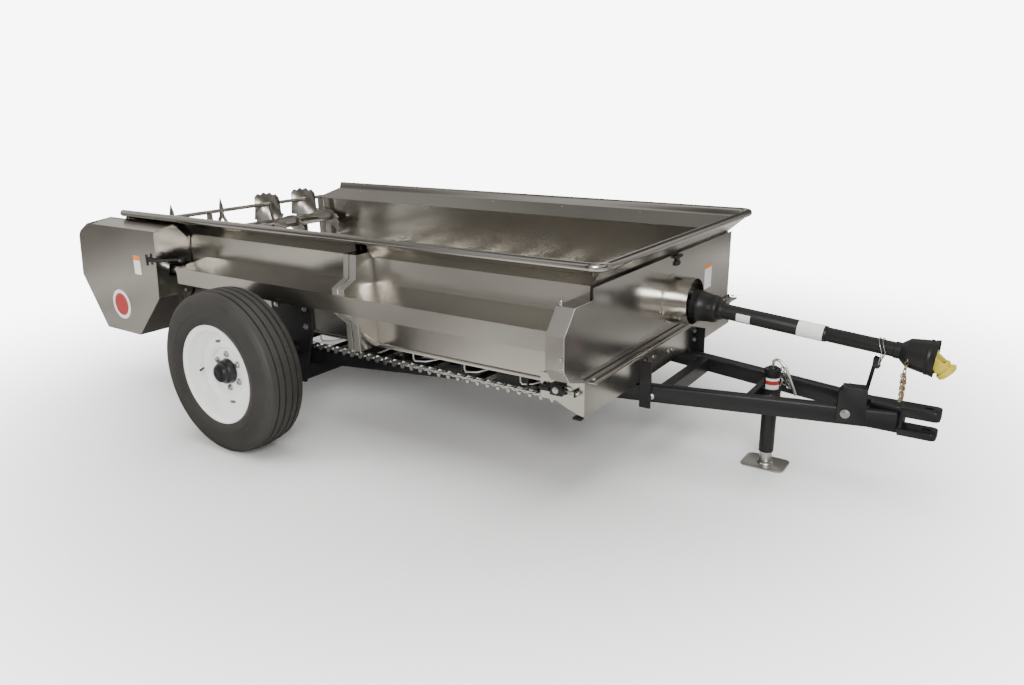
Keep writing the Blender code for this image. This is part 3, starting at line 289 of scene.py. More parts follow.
class Shop:
    """Models pieces with Blender's own operators and hands them to the frame."""

    SHARP = radians(35)
    TINY = 1e-5
    AXES = {
        "X": Matrix(((0, 0, 1, 0), (1, 0, 0, 0), (0, 1, 0, 0), (0, 0, 0, 1))),
        "Y": Matrix(((1, 0, 0, 0), (0, 0, -1, 0), (0, 1, 0, 0), (0, 0, 0, 1))), "Z": Matrix.Identity(4),
    }

    def __init__(self, paint: Paint) -> None:
        self.paint = paint
        self.count = 0

    @staticmethod
    def only(item: Piece) -> None:
        """Selects one object and nothing else."""
        bpy.ops.object.select_all(action="DESELECT")
        item.select_set(True)
        bpy.context.view_layer.objects.active = item

    def settle(self, item: Piece, matrix: Matrix | None = None) -> Piece:
        """Applies the object's transform, then moves its mesh by a matrix."""
        self.only(item)
        bpy.ops.object.transform_apply(location=True, rotation=True, scale=True)
        if matrix is not None:
            item.data.transform(matrix)
            if matrix.determinant() < 0:
                item.data.flip_normals()
        return item

    def rounded(self, item: Piece, width: float, segments: int = 2) -> Piece:
        """Bevels the sharp edges and bakes the modifier."""
        if width <= 0:
            return item
        self.only(item)
        bevel = item.modifiers.new("edges", "BEVEL")
        bevel.width = width
        bevel.segments = segments
        bevel.limit_method = "ANGLE"
        bevel.angle_limit = self.SHARP
        bevel.use_clamp_overlap = True
        bpy.ops.object.modifier_apply(modifier=bevel.name)
        return item

    def block(self, low: Point, high: Point, bevel: float = 0.0) -> Piece:
        """A box between two corners, with rounded edges."""
        middle = [(a + b) / 2 for a, b in zip(low, high)]
        bpy.ops.mesh.primitive_cube_add(size=1, location=middle)
        item = bpy.context.object
        item.scale = [max(self.TINY, b - a) for a, b in zip(low, high)]
        self.settle(item)
        return self.rounded(item, bevel)

    def rod(
        self, start: Sequence[float], end: Sequence[float], radius: float, sides: int = 24,
        end_radius: float | None = None, bevel: float = 0.0,
    ) -> Piece:
        """A round bar or cone between two points."""
        first, last = Vector(start), Vector(end)
        line = last - first
        bpy.ops.mesh.primitive_cone_add(
            vertices=sides, radius1=radius, radius2=radius if end_radius is None else end_radius, depth=line.length,
        )
        item = bpy.context.object
        self.settle(item, aim(line, start=(first + last) / 2))
        return self.rounded(item, bevel)

    def plate(self, outline: Sequence[Flat], axis: str, low: float, high: float, bevel: float = 0.0) -> Piece:
        """A flat outline extruded along an axis: (y, z) along X, (x, z) along Y, (x, y) along Z."""
        bpy.ops.mesh.primitive_circle_add(vertices=len(outline), fill_type="NGON")
        item = bpy.context.object
        for vertex, (u, v) in zip(item.data.vertices, outline):
            vertex.co = (u, v, low if axis != "Y" else -low)
        rise = high - low if axis != "Y" else low - high
        bpy.ops.object.mode_set(mode="EDIT")
        bpy.ops.mesh.select_all(action="SELECT")
        bpy.ops.mesh.extrude_region_move(TRANSFORM_OT_translate={"value": (0, 0, rise)})
        bpy.ops.mesh.select_all(action="SELECT")
        bpy.ops.mesh.normals_make_consistent(inside=False)
        bpy.ops.object.mode_set(mode="OBJECT")
        return self.rounded(moved(item, self.AXES[axis]), bevel)

    def lathe(
        self, profile: Sequence[Flat], origin: Sequence[float], direction: Sequence[float], steps: int = 48,
    ) -> Piece:
        """A (radius, distance) profile spun about a line.

        Args:
            profile: Points of the profile, in order.
            origin: Start of the line.
            direction: Direction of the line.
            steps: Number of steps round.

        Returns:
            The turned piece.
        """
        bpy.ops.mesh.primitive_circle_add(vertices=len(profile), fill_type="NOTHING")
        item = bpy.context.object
        for vertex, (radius, distance) in zip(item.data.vertices, profile):
            vertex.co = (radius, 0, distance)
        bpy.ops.object.mode_set(mode="EDIT")
        bpy.ops.mesh.select_all(action="SELECT")
        bpy.ops.mesh.spin(steps=steps, angle=tau, center=(0, 0, 0), axis=(0, 0, 1))
        bpy.ops.mesh.select_all(action="SELECT")
        bpy.ops.mesh.remove_doubles(threshold=self.TINY)
        bpy.ops.mesh.normals_make_consistent(inside=False)
        bpy.ops.object.mode_set(mode="OBJECT")
        return moved(item, aim(direction, start=origin))

    @staticmethod
    def drawn(name: str, points: Sequence[Point], closed: bool = False) -> Piece:
        """A curve object through points."""
        curve = bpy.data.curves.new(name, "CURVE")
        spline = curve.splines.new("POLY")
        spline.points.add(len(points) - 1)
        for place, point in zip(spline.points, points):
            place.co = (*point, 1)
        spline.use_cyclic_u = closed
        item = bpy.data.objects.new(name, curve)
        bpy.context.scene.collection.objects.link(item)
        return item

    def meshed(self, item: Piece) -> Piece:
        """A capped curve as a mesh."""
        item.data.dimensions = "3D"
        item.data.use_fill_caps = True
        self.only(item)
        bpy.ops.object.convert(target="MESH")
        return bpy.context.object

    def tube(self, points: Sequence[Point], radius: float, smooth: int = 3) -> Piece:
        """A round tube along a path."""
        item = self.drawn("path", points)
        item.data.bevel_depth = radius
        item.data.bevel_resolution = smooth
        return self.meshed(item)

    def sweep(self, points: Sequence[Point], profile: Sequence[Flat]) -> Piece:
        """A closed (outward, up) profile carried along a level path, outward to the path's right."""
        section = self.drawn("profile", [(across, rise, 0) for across, rise in profile], True)
        item = self.drawn("path", points)
        item.data.twist_mode = "Z_UP"
        item.data.bevel_mode = "OBJECT"
        item.data.bevel_object = section
        item = self.meshed(item)
        bpy.data.objects.remove(section, do_unlink=True)
        return item

    @staticmethod
    def joined(pieces: Sequence[Piece]) -> Piece:
        """All pieces as one."""
        bpy.ops.object.select_all(action="DESELECT")
        for piece in pieces:
            piece.select_set(True)
        bpy.context.view_layer.objects.active = pieces[0]
        if len(pieces) > 1:
            bpy.ops.object.join()
        return bpy.context.object

    @staticmethod
    def copies(item: Piece, matrices: Sequence[Matrix]) -> list[Piece]:
        """A piece at each matrix, in place of the piece itself."""
        made = []
        for matrix in matrices:
            twin = item.copy()
            twin.data = item.data.copy()
            twin.data.transform(matrix)
            bpy.context.scene.collection.objects.link(twin)
            made.append(twin)
        bpy.data.objects.remove(item, do_unlink=True)
        return made

    def carved(self, item: Piece, cutters: Sequence[Piece]) -> Piece:
        """The piece less each cutter."""
        for cutter in cutters:
            self.only(item)
            modifier = item.modifiers.new("cut", "BOOLEAN")
            modifier.operation = "DIFFERENCE"
            modifier.solver = "EXACT"
            modifier.object = cutter
            bpy.ops.object.modifier_apply(modifier=modifier.name)
            bpy.data.objects.remove(cutter, do_unlink=True)
        return item

    def finish(
        self, name: str, pieces: Sequence[Piece], finish: Finish, body: Body = Body.CHASSIS,
        replaces: Sequence[str] = (), angle: float = 32.0,
    ) -> Piece:
        """Joins pieces into one named object of one finish that moves with a body.

        Args:
            name: Object name.
            pieces: The pieces, which it uses up.
            finish: Its look.
            body: The body it moves with.
            replaces: Solids that it stands for.
            angle: Edges sharper than this many degrees stay sharp.

        Returns:
            The finished object.
        """
        for piece in pieces:
            piece.data.materials.clear()
        item = self.joined(pieces)
        item.name = name
        item.data.name = name
        item.data.transform(Matrix.Translation((AXLE_X, 0, 0)))
        item.data.materials.append(self.paint.material(finish))
        self.only(item)
        bpy.ops.object.shade_smooth_by_angle(angle=radians(angle))
        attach(item, body.value)
        if replaces:
            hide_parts(*replaces)
        self.count += 1
        return item

    def hex_bolt(self, place: Point, normal: Point, size: float = 0.008, height: float = 0.006) -> list[Piece]:
        """A hexagon head on a washer, standing on a face."""
        base, way = Vector(place), Vector(normal).normalized()
        return [
            self.rod(base, base + way * height * 0.3, size * 1.35, 14),
            self.rod(base + way * height * 0.3, base + way * (height * 1.3), size, 6, size * 0.9),
        ]


def arc(centre: Flat, radius: float, start: float, end: float, steps: int) -> list[Flat]:
    """Points on an arc, with angles in degrees."""
    found = []
    for i in range(steps + 1):
        angle = radians(start + (end - start) * i / steps)
        found.append((centre[0] + radius * cos(angle), centre[1] + radius * sin(angle)))
    return found


def aim(line: Sequence[float], track: str = "Z", up: str = "Y", start: Sequence[float] = (0, 0, 0)) -> Matrix:
    """A frame at a point, with one axis along a line and another kept upright."""
    return Matrix.Translation(start) @ Vector(line).to_track_quat(track, up).to_matrix().to_4x4()


def moved(item: Piece, matrix: Matrix) -> Piece:
    """The piece, with its mesh moved by a matrix."""
    item.data.transform(matrix)
    return item


def side_name(side: int) -> str:
    """The word for a side: -1 is right, 1 is left."""
    return "right" if side < 0 else "left"


@dataclass
class SheetWork:
    """The stainless box: solids from the frame with its rolled rim, bolts, seams and straps."""

    half_width: float = 0.668
    flare: float = 0.068
    crease_z: float = 0.805
    rim_z: float = 0.888
    rear_x: float = -1.09
    front_x: float = 1.558
    bend: float = 0.05
    lip_out: float = 0.0095
    lip_drop: float = 0.002
    rivets: tuple[float, ...] = (-0.9, -0.33, 0.12, 0.568, 1.017, 1.43)
    loops: tuple[Flat, ...] = ((-0.1, 0.09), (0.16, 0.09), (0.688, 0.1), (0.945, 0.085), (1.203, 0.075))
    brace_halves: tuple[Flat, ...] = ((0.438, 0.4655), (0.4695, 0.505))
    brace_edges: tuple[Flat, ...] = ((0.439, 0.464), (0.4715, 0.5035))

    LIP = (
        (-0.03, -0.032), (-0.024, -0.024), (-0.018, -0.012), (-0.0125, 0.003), (-0.0065, 0.0125), (0.0, 0.0165),
        (0.0085, 0.014), (0.0145, 0.0075), (0.0165, 0.0), (0.015, -0.0075), (0.0095, -0.0135), (0.002, -0.016),
        (-0.004, -0.015), (-0.01, -0.018), (-0.022, -0.029), (-0.028, -0.0345),
    )

    FINISHES = {
        "side_wall_right": SHEET_X, "side_wall_left": SHEET_X, "side_channel_right": SHEET_X,
        "side_channel_left": SHEET_X, "front_wall": SHEET_Y, "floor": SHEET_X, "lower_front_plate": SHEET_Y,
        "front_cover": SHEET_Z, "rear_cover": SHEET_X, "drive_backplate": SHEET_X, "rear_sill": SHEET_Y,
        "guard_ring": SHEET_X,
    }

    def build(self, shop: Shop, nodes: dict[str, Piece], slots: dict[str, Slot]) -> None:
        """Paints the frame's solids and adds the box's trim."""
        for name, node in nodes.items():
            look = self.FINISHES.get(name, BASE_FINISH[slots[name]])
            node.data.materials.clear()
            node.data.materials.append(shop.paint.material(look))
        self.rim(shop)
        self.flare_bolts(shop)
        self.straps(shop)
        self.stiffeners(shop)

    def rim(self, shop: Shop) -> None:
        """One rolled bead round both sides and the front, closed at its ends."""
        section = [(u, self.rim_z - self.lip_drop + v) for u, v in self.LIP]
        roll = shop.sweep(self.rim_path(-self.lip_out, 0.0), section)
        shop.finish("rim_roll", [roll], ROLLED, Body.CHASSIS, ["rim_bead"], 50)

    def rim_path(self, inset: float, z: float) -> list[Point]:
        """The rim's line round both sides and the front, moved in by a distance."""
        out, front = self.half_width + self.flare - inset, self.front_x - inset
        turn, reach = front - self.bend, out - self.bend
        path = [(self.rear_x + (turn - self.rear_x) * i / 24, -out) for i in range(24)]
        path += arc((turn, -reach), self.bend, -90, 0, 12)
        path += [(front, -reach + 2 * reach * i / 12) for i in range(1, 12)]
        path += arc((turn, reach), self.bend, 0, 90, 12)
        path += [(turn + (self.rear_x - turn) * i / 24, out) for i in range(1, 25)]
        return [(x, y, z) for x, y in path]

    def flare_bolts(self, shop: Shop) -> None:
        """Small rivets along the flare on both sides."""
        pieces = []
        for side in (-1, 1):
            for x in self.rivets:
                y = side * (self.half_width + 0.046 - 0.0022)
                place = Vector((x, y, self.crease_z + 0.0482))
                way = Vector((0, -side, 1)).normalized()
                pieces.append(shop.rod(place, place + way * 0.0022, 0.005, 12, 0.0035))
        shop.finish("flare_rivets", pieces, ZINC)

    def straps(self, shop: Shop) -> None:
        """Bright wire loops under both walls, and a folded hem along their feet."""
        pieces = []
        for side in (-1, 1):
            y = side * (self.half_width - 0.006)
            for x, width in self.loops:
                inward = -side * 0.055
                loop = [
                    (x, y, 0.446), (x, y, 0.41), (x + 0.008, y, 0.402), (x + width * 0.55, y + inward * 0.3, 0.403),
                    (x + width, y + inward, 0.412), (x + width + 0.004, y + inward, 0.452),
                ]
                pieces.append(shop.tube(loop, 0.0036, smooth=2))
        shop.finish("wire_loops", pieces, BRIGHT_AND_HIGHLIGHT)
        hems = []
        for side in (-1, 1):
            y = side * (self.half_width + 0.004)
            low, high = sorted((y - side * 0.0034, y + side * 0.001))
            hems.append(shop.block((-1.235, low, 0.434), (1.33, high, 0.449), 0.0012))
        shop.finish("wall_hems", hems, SHEET_X)

    def stiffeners(self, shop: Shop) -> None:
        """The pair of plates that brace each wall round its channel, with a paler skin on their outward faces."""
        wall = self.half_width + 0.0003
        for side in (-1, 1):
            word = side_name(side)
            outline = [
                (wall, self.crease_z - 0.002), (wall + 0.024, 0.829), (wall + 0.092, 0.829), (wall + 0.102, 0.735),
                (0.836, 0.706), (0.836, 0.604), (wall + 0.106, 0.549), (wall + 0.103, 0.437), (wall, 0.437),
            ]
            points = [(side * y, z) for y, z in outline]
            proud = [(side * (y + 0.0008), z) for y, z in outline]
            bodies = [shop.plate(points, "X", low, high, 0.001) for low, high in self.brace_halves]
            shop.finish(f"wall_brace_{word}", bodies, SHEET_Z, Body.CHASSIS, [f"mid_brace_{word}"])
            edges = [shop.plate(proud, "X", low, high) for low, high in self.brace_edges]
            shop.finish(f"brace_edges_{word}", edges, BRIGHT_AND_HIGHLIGHT)


@dataclass
class Wheel:
    """One wheel: ribbed tyre, disc rim, lug nuts, hub cap and valve."""

    side: int
    radius: float = 0.343
    half_width: float = 0.0985
    track: float = 1.0115
    lugs: int = 6
    lug_circle: float = 0.073
    crown_drop: float = 1.35
    slot_angles: Flat = (80, 258)

    @property
    def body(self) -> Body:
        """The body that this wheel turns with."""
        return Body.WHEEL_RIGHT if self.side < 0 else Body.WHEEL_LEFT

    def tyre_profile(self) -> list[Flat]:
        """Half-rounded crown with four grooves, sidewall rings and bead."""
        grooves = (-0.047, -0.017, 0.017, 0.047)

        def crown(s: float) -> float:
            """Radius of the crown at a distance from its middle."""
            return self.radius - self.crown_drop * s * s

        outside: list[Flat] = []
        steps, half = 22, 0.074
        for i in range(steps + 1):
            s = -half + 2 * half * i / steps
            if all(abs(s - g) > 0.0042 for g in grooves):
                outside.append((crown(s), s))
        for g in grooves:
            r = crown(g)
            outside += [(r, g - 0.004), (r - 0.0075, g - 0.0026), (r - 0.0075, g + 0.0026), (r, g + 0.004)]
        outside.sort(key=lambda point: point[1])
        wall: list[Flat] = [
            (0.329, 0.08), (0.3205, 0.086), (0.319, 0.0875), (0.306, 0.0925), (0.29, 0.0965), (0.27, self.half_width),
            (0.254, self.half_width), (0.2525, self.half_width - 0.0012), (0.248, self.half_width - 0.0012),
            (0.2465, self.half_width - 0.0002), (0.236, 0.0965), (0.224, 0.0925), (0.214, 0.088), (0.211, 0.085),
            (0.2096, 0.08), (0.1915, 0.076),
        ]
        return [(r, -s) for r, s in reversed(wall)] + outside + wall

    def build(self, shop: Shop) -> None:
        """Models the wheel."""
        side, word = self.side, side_name(self.side)
        origin, way = (0, side * self.track, self.radius), (0, side, 0)
        tyre = shop.lathe(self.tyre_profile(), origin, way, 112)
        shop.finish(f"tyre_ribbed_{word}", [tyre], RUBBER, self.body, [f"tyre_{word}"], 38)
        rim = shop.lathe(self.rim_profile(), origin, way, 80)
        holes = []
        for angle in self.slot_angles:
            turn = Matrix.Rotation(radians(angle), 4, "Y")
            slot = arc((0.13, 0.015), 0.0065, -5, 185, 8) + arc((0.13, -0.015), 0.0065, 175, 365, 8)
            place = Matrix.Translation((0, side * (self.track + 0.033), self.radius)) @ turn
            holes.append(moved(shop.plate(slot, "Y", -0.06, 0.06), place))
        rim = shop.carved(rim, holes)
        shop.finish(f"disc_rim_{word}", [rim], WHITE, self.body, [f"wheel_rim_{word}"], 35)
        self.hub(shop, origin, word)

    @staticmethod
    def rim_profile() -> list[Flat]:
        """Rolled flanges, drop centre and dished disc as one sheet."""
        return [
            (0.204, 0.088), (0.209, 0.0868), (0.2096, 0.0835), (0.207, 0.08), (0.199, 0.079), (0.192, 0.077),
            (0.19, 0.074), (0.19, 0.048), (0.187, 0.044), (0.173, 0.034), (0.1715, 0.03), (0.1715, -0.033),
            (0.173, -0.037), (0.188, -0.048), (0.19, -0.052), (0.19, -0.074), (0.192, -0.077), (0.207, -0.08),
            (0.2096, -0.0835), (0.204, -0.0865), (0.188, -0.08), (0.1862, -0.076), (0.1862, -0.051), (0.17, -0.0385),
            (0.168, -0.034), (0.168, 0.02), (0.162, 0.0235), (0.153, 0.024), (0.142, 0.029), (0.116, 0.03),
            (0.106, 0.024), (0.1, 0.015), (0.05, 0.015), (0.05, 0.02), (0.096, 0.0205), (0.102, 0.028),
            (0.112, 0.035), (0.12, 0.0365), (0.14, 0.0365), (0.148, 0.034), (0.156, 0.03), (0.164, 0.0295),
            (0.1678, 0.031), (0.17, 0.037), (0.1845, 0.047), (0.1862, 0.051), (0.1862, 0.076), (0.1885, 0.081),
            (0.199, 0.0835),
        ]

    def hub(self, shop: Shop, origin: Point, word: str) -> None:
        """Hub, cap, lug nuts and valve stem."""
        side = self.side
        hub = shop.lathe(
            [
                (0.0, 0.08), (0.006, 0.0798), (0.008, 0.077), (0.012, 0.0785), (0.026, 0.076), (0.036, 0.07),
                (0.04, 0.062), (0.041, 0.054), (0.046, 0.051), (0.05, 0.044), (0.051, 0.0225), (0.053, 0.0205),
                (0.049, 0.014), (0.049, -0.085), (0.0, -0.085),
            ],
            origin, (0, side, 0), 40,
        )
        shop.finish(f"hub_{word}", [hub], BLACK, self.body, (), 40)
        pieces = []
        for i in range(self.lugs):
            angle = tau * (i + 0.5) / self.lugs
            x = self.lug_circle * cos(angle)
            z = self.radius + self.lug_circle * sin(angle)
            face = side * (self.track + 0.02)
            nut = shop.rod((x, face, z), (x, face + side * 0.011, z), 0.011, 6, 0.01, 0.001)
            pieces += [shop.rod((x, face, z), (x, face + side * 0.003, z), 0.014, 20), nut]
        shop.finish(f"lug_nuts_{word}", pieces, ZINC, self.body)
        foot = Vector((-0.153, side * (self.track + 0.03), self.radius - 0.012))
        tip = Vector((-0.13, side * (self.track + 0.06), self.radius - 0.008))
        stem = [shop.rod(foot, tip, 0.0042, 12), shop.rod(tip, tip + (tip - foot) * 0.25, 0.005, 12)]
        shop.finish(f"valve_{word}", stem, RUBBER_AND_SHADOW, self.body)


@dataclass
class Conveyor:
    """Chains with attachment links, slats, sprockets and shafts."""

    front_x: float = 1.4
    rear_x: float = -1.0
    axis_z: float = 0.44
    inner: float = 0.0683
    chain_thick: float = 0.012
    chain_y: float = 0.628
    about_pitch: float = 0.0478
    slats: int = 9
    slat_width: float = 0.045
    slat_height: float = 0.022

    def place(self, distance: float) -> Matrix:
        """The frame of a link at a distance along the loop: X along the travel, Z outwards."""
        radius = self.inner + self.chain_thick / 2
        straight = self.front_x - self.rear_x
        turn = pi * radius
        distance %= 2 * (straight + turn)
        if distance < straight:
            x, z, angle = self.rear_x + distance, self.axis_z + radius, 0.0
        elif distance < straight + turn:
            angle = (distance - straight) / radius
            x, z = self.front_x + radius * sin(angle), self.axis_z + radius * cos(angle)
        elif distance < 2 * straight + turn:
            x, z = self.front_x - (distance - straight - turn), self.axis_z - radius
            angle = pi
        else:
            angle = pi + (distance - 2 * straight - turn) / radius
            x, z = self.rear_x + radius * sin(angle), self.axis_z + radius * cos(angle)
        return Matrix.Translation((x, 0, z)) @ Matrix.Rotation(angle, 4, "Y")

    def build(self, shop: Shop) -> None:
        """Models the conveyor."""
        radius = self.inner + self.chain_thick / 2
        length = 2 * (self.front_x - self.rear_x + pi * radius)
        count = round(length / self.about_pitch)
        pitch = length / count
        link = self.link(shop, pitch)
        matrices = [
            Matrix.Translation((0, side * self.chain_y, 0)) @ self.place(i * pitch)
            for side in (-1, 1) for i in range(count)
        ]
        shop.finish("conveyor_chain", shop.copies(link, matrices), ZINC, Body.CHASSIS, ["apron"], 35)
        self.slat_row(shop)
        self.shafts(shop)
        self.take_ups(shop)

    def link(self, shop: Shop, pitch: float) -> Piece:
        """A pintle link: barrel, side bars and the attachment lug that points outwards."""
        return shop.joined([
            shop.rod((0, -0.015, 0), (0, 0.015, 0), 0.0062, 8),
            shop.block((-0.002, -0.013, -0.0048), (pitch - 0.004, -0.0085, 0.0048)),
            shop.block((-0.002, 0.0085, -0.0048), (pitch - 0.004, 0.013, 0.0048)),
            shop.block((pitch * 0.36, -0.0085, 0.001), (pitch * 0.62, 0.0085, 0.005)),
            shop.plate(
                [(pitch * 0.3, 0.004), (pitch * 0.7, 0.004), (pitch * 0.6, 0.0155), (pitch * 0.4, 0.0155)], "Y",
                -0.019, -0.013,
            ),
            shop.rod((0, -0.02, 0), (0, 0.02, 0), 0.0036, 6),
        ])

    def slat_row(self, shop: Shop) -> None:
        """Channel-section slats on both strands, with a bolted lug at each end."""
        wall, height, width = 0.004, self.slat_height, self.slat_width
        profile = [
            (0.0, 0.0005), (wall, 0.0005), (wall, height - wall), (width - wall, height - wall),
            (width - wall, 0.0005), (width, 0.0005), (width, height - 0.002), (width - 0.002, height),
            (0.002, height), (0.0, height - 0.002),
        ]
        length = self.front_x - self.rear_x - width
        pieces = []
        for i in range(self.slats):
            x = self.rear_x + length * (i + 0.5) / self.slats
            for way in (1, -1):
                outline = [(x + u, self.axis_z + way * (self.inner + v)) for u, v in profile]
                pieces.append(shop.plate(outline, "Y", -0.612, 0.612))
                for side in (-1, 1):
                    z = self.axis_z + way * (self.inner + height)
                    pieces += shop.hex_bolt((x + width / 2, side * 0.598, z), (0, 0, way), 0.006, 0.004)
        shop.finish("slats", pieces, SHEET_Y, Body.CHASSIS, (), 30)

    def sprocket(self, shop: Shop, x: float, y: float, half: float, tip: float, root: float, teeth: int) -> Piece:
        """A toothed disc about the cross axis."""
        outline: list[Flat] = []
        for i in range(teeth):
            base = 360.0 * i / teeth
            for share, r in ((0.0, root), (0.22, root), (0.38, tip), (0.62, tip), (0.78, root)):
                angle = radians(base + 360.0 / teeth * share)
                outline.append((x + r * cos(angle), self.axis_z + r * sin(angle)))
        return shop.plate(outline, "Y", y - half, y + half, 0.0008)

    def shafts(self, shop: Shop) -> None:
        """Idler and driven shafts with their sprockets and hubs; the driven one carries the large sprocket."""
        z = self.axis_z
        for name, x, ends, solid in (
            ("idler", self.front_x, (-0.745, 0.745), "idler_shaft"),
            ("drive_shaft", self.rear_x, (-0.8, 0.7), "apron_drive_shaft"),
        ):
            pieces = [shop.rod((x, ends[0], z), (x, ends[1], z), 0.0125, 24, None, 0.0015)]
            for side in (-1, 1):
                y = side * self.chain_y
                pieces.append(self.sprocket(shop, x, y, 0.004, 0.072, 0.058, 9))
                pieces.append(shop.rod((x, y - 0.02, z), (x, y + 0.02, z), 0.026, 20))
            if x == self.rear_x:
                pieces.append(self.sprocket(shop, x, -0.785, 0.004, 0.105, 0.096, 28))
            shop.finish(name, pieces, ZINC, Body.CHASSIS, [solid])

    def take_ups(self, shop: Shop) -> None:
        """Sliding blocks and tension screws at both ends of the idler shaft."""
        x, z = self.front_x, self.axis_z
        blocks, screws = [], []
        for side in (-1, 1):
            face = side * 0.7225
            low, high = sorted((face, side * 0.742))
            blocks.append(shop.block((x - 0.026, low, z - 0.021), (x + 0.026, high, z + 0.021), 0.004))
            for start, end in ((-0.066, -0.026), (0.026, 0.04)):
                blocks.append(shop.rod((x + start, side * 0.7345, z), (x + end, side * 0.7345, z), 0.012, 10))
            low, high = sorted((face, side * 0.74))
            blocks.append(shop.block((x + 0.071, low, z - 0.014), (x + 0.075, high, z + 0.014)))
            y = side * 0.731
            for start, end, radius, sides in (
                (0.03, 0.092, 0.005, 12), (0.062, 0.07, 0.009, 6), (0.078, 0.086, 0.009, 6)
            ):
                screws.append(shop.rod((x + start, y, z), (x + end, y, z), radius, sides))
        shop.finish("take_ups", blocks, BLACK)
        shop.finish("take_up_screws", screws, ZINC)


@dataclass
class Beater:
    """The rotor: shaft, spiders, bars, spear tines and cupped, serrated paddles."""

    x: float = -1.155
    z: float = 0.695
    reach: float = 0.195
    bars: int = 4
    bar_radius: float = 0.125
    half: float = 0.63
    twist: float = -48.0
    tooth: float = 0.012
    paddle_half: float = 0.074
    paddle_thick: float = 0.0045
    bearing_half: float = 0.05
    bolt_offset: float = 0.038

    def build(self, shop: Shop) -> None:
        """Models the rotor."""
        pieces = [shop.rod((self.x, -0.775, self.z), (self.x, 0.715, self.z), 0.022, 28, None, 0.002)]
        for y in (-self.half + 0.012, -self.half / 3, self.half / 3, self.half - 0.012):
            pieces.append(self.spider(shop, y))
        for i in range(self.bars):
            bar = shop.rod((0, -self.half, self.bar_radius), (0, self.half, self.bar_radius), 0.0105, 16)
            pieces.append(moved(bar, self.turn(90.0 * i)))
        shop.finish("rotor", pieces, CAST, Body.BEATER, ["beater"], 35)
        tines, paddles = [], []
        for i in range(self.bars):
            turn = self.turn(90.0 * i)
            shift = 0.0 if i % 2 == 0 else 0.105
            for y in (-0.44, -0.13):
                tines.append(self.tine(shop, y + shift, turn))
            for y in (0.19, 0.47):
                paddles.append(self.paddle(shop, y + shift * 0.9, turn))
            if i % 2:
                paddles.append(self.paddle(shop, -0.545, turn))
        shop.finish("tines", tines, CAST, Body.BEATER, (), 30)
        shop.finish("paddles", paddles, CAST, Body.BEATER, (), 45)
        self.bearings(shop)

    def turn(self, degrees: float) -> Matrix:
        """Places a piece modelled above the axis at an angle round it."""
        rotation = Matrix.Rotation(radians(degrees), 4, "Y")
        return Matrix.Translation((self.x, 0, self.z)) @ rotation

    def spider(self, shop: Shop, y: float) -> Piece:
        """A four-armed plate that holds the bars."""
        outline: list[Flat] = []
        for i in range(self.bars):
            base = 90.0 * i
            for offset, radius in ((-30, 0.052), (-9, 0.132), (9, 0.132), (30, 0.052)):
                angle = radians(base + offset)
                outline.append((self.x + radius * cos(angle), self.z + radius * sin(angle)))
        return shop.plate(outline, "Y", y - 0.004, y + 0.004, 0.0015)

    def tine(self, shop: Shop, y: float, turn: Matrix) -> Piece:
        """A spear-shaped knife welded on a bar."""
        spear = [
            (-0.04, 0.052), (-0.014, 0.1), (-0.011, 0.15), (0.0, self.reach), (0.013, 0.15), (0.014, 0.1),
            (0.04, 0.052), (0.022, 0.052), (0.0, 0.084), (-0.022, 0.052),
        ]
        return moved(shop.plate([(y + u, v) for u, v in spear], "X", -0.0035, 0.0035, 0.001), turn)

    def paddle(self, shop: Shop, y: float, turn: Matrix) -> Piece:
        """A cupped plate with a toothed edge, set across a bar at a slight twist."""
        columns, rows = 16, 8
        bpy.ops.mesh.primitive_grid_add(x_subdivisions=columns, y_subdivisions=rows, size=2)
        item = bpy.context.object
        for vertex in item.data.vertices:
            u, v = vertex.co.x, vertex.co.y
            tooth = self.tooth * (1 - abs(((u + 1) * 4) % 2 - 1))
            top = self.reach - self.tooth + tooth - 0.018 * u * u
            low = 0.03 + 0.012 * u * u
            height = low + (top - low) * (v + 1) / 2
            across = self.paddle_half * u
            bend = 0.7 * u + 0.7 * v
            cup = 0.03 * bend * bend - 0.018
            vertex.co = (cup, across, height)
        shop.only(item)
        thick = item.modifiers.new("thick", "SOLIDIFY")
        thick.thickness = self.paddle_thick
        thick.offset = 0.0
        bpy.ops.object.modifier_apply(modifier=thick.name)
        twist = Matrix.Rotation(radians(self.twist), 4, "Z")
        return moved(item, turn @ Matrix.Translation((0.004, y, 0)) @ twist)

    def bearings(self, shop: Shop) -> None:
        """Flanged bearings on both walls."""
        for side, face in ((-1, 0.6713), (1, 0.668)):
            word = side_name(side)
            near, far, half = side * (face + 0.0004), side * (face + 0.007), self.bearing_half
            low, high = sorted((near, far))
            body = shop.block((self.x - half, low, self.z - half), (self.x + half, high, self.z + half), 0.004)
            barrel = shop.lathe(
                [(0.0228, 0.003), (0.043, 0.003), (0.042, 0.018), (0.036, 0.026), (0.033, 0.034), (0.0228, 0.034)],
                (self.x, side * face, self.z), (0, side, 0), 32,
            )
            pieces = [body, barrel]
            for dx in (-self.bolt_offset, self.bolt_offset):
                for dz in (-self.bolt_offset, self.bolt_offset):
                    pieces += shop.hex_bolt((self.x + dx, far, self.z + dz), (0, side, 0), 0.007, 0.006)
            shop.finish(f"bearing_{word}", pieces, BLACK, Body.CHASSIS, [f"beater_bearing_{word}"])


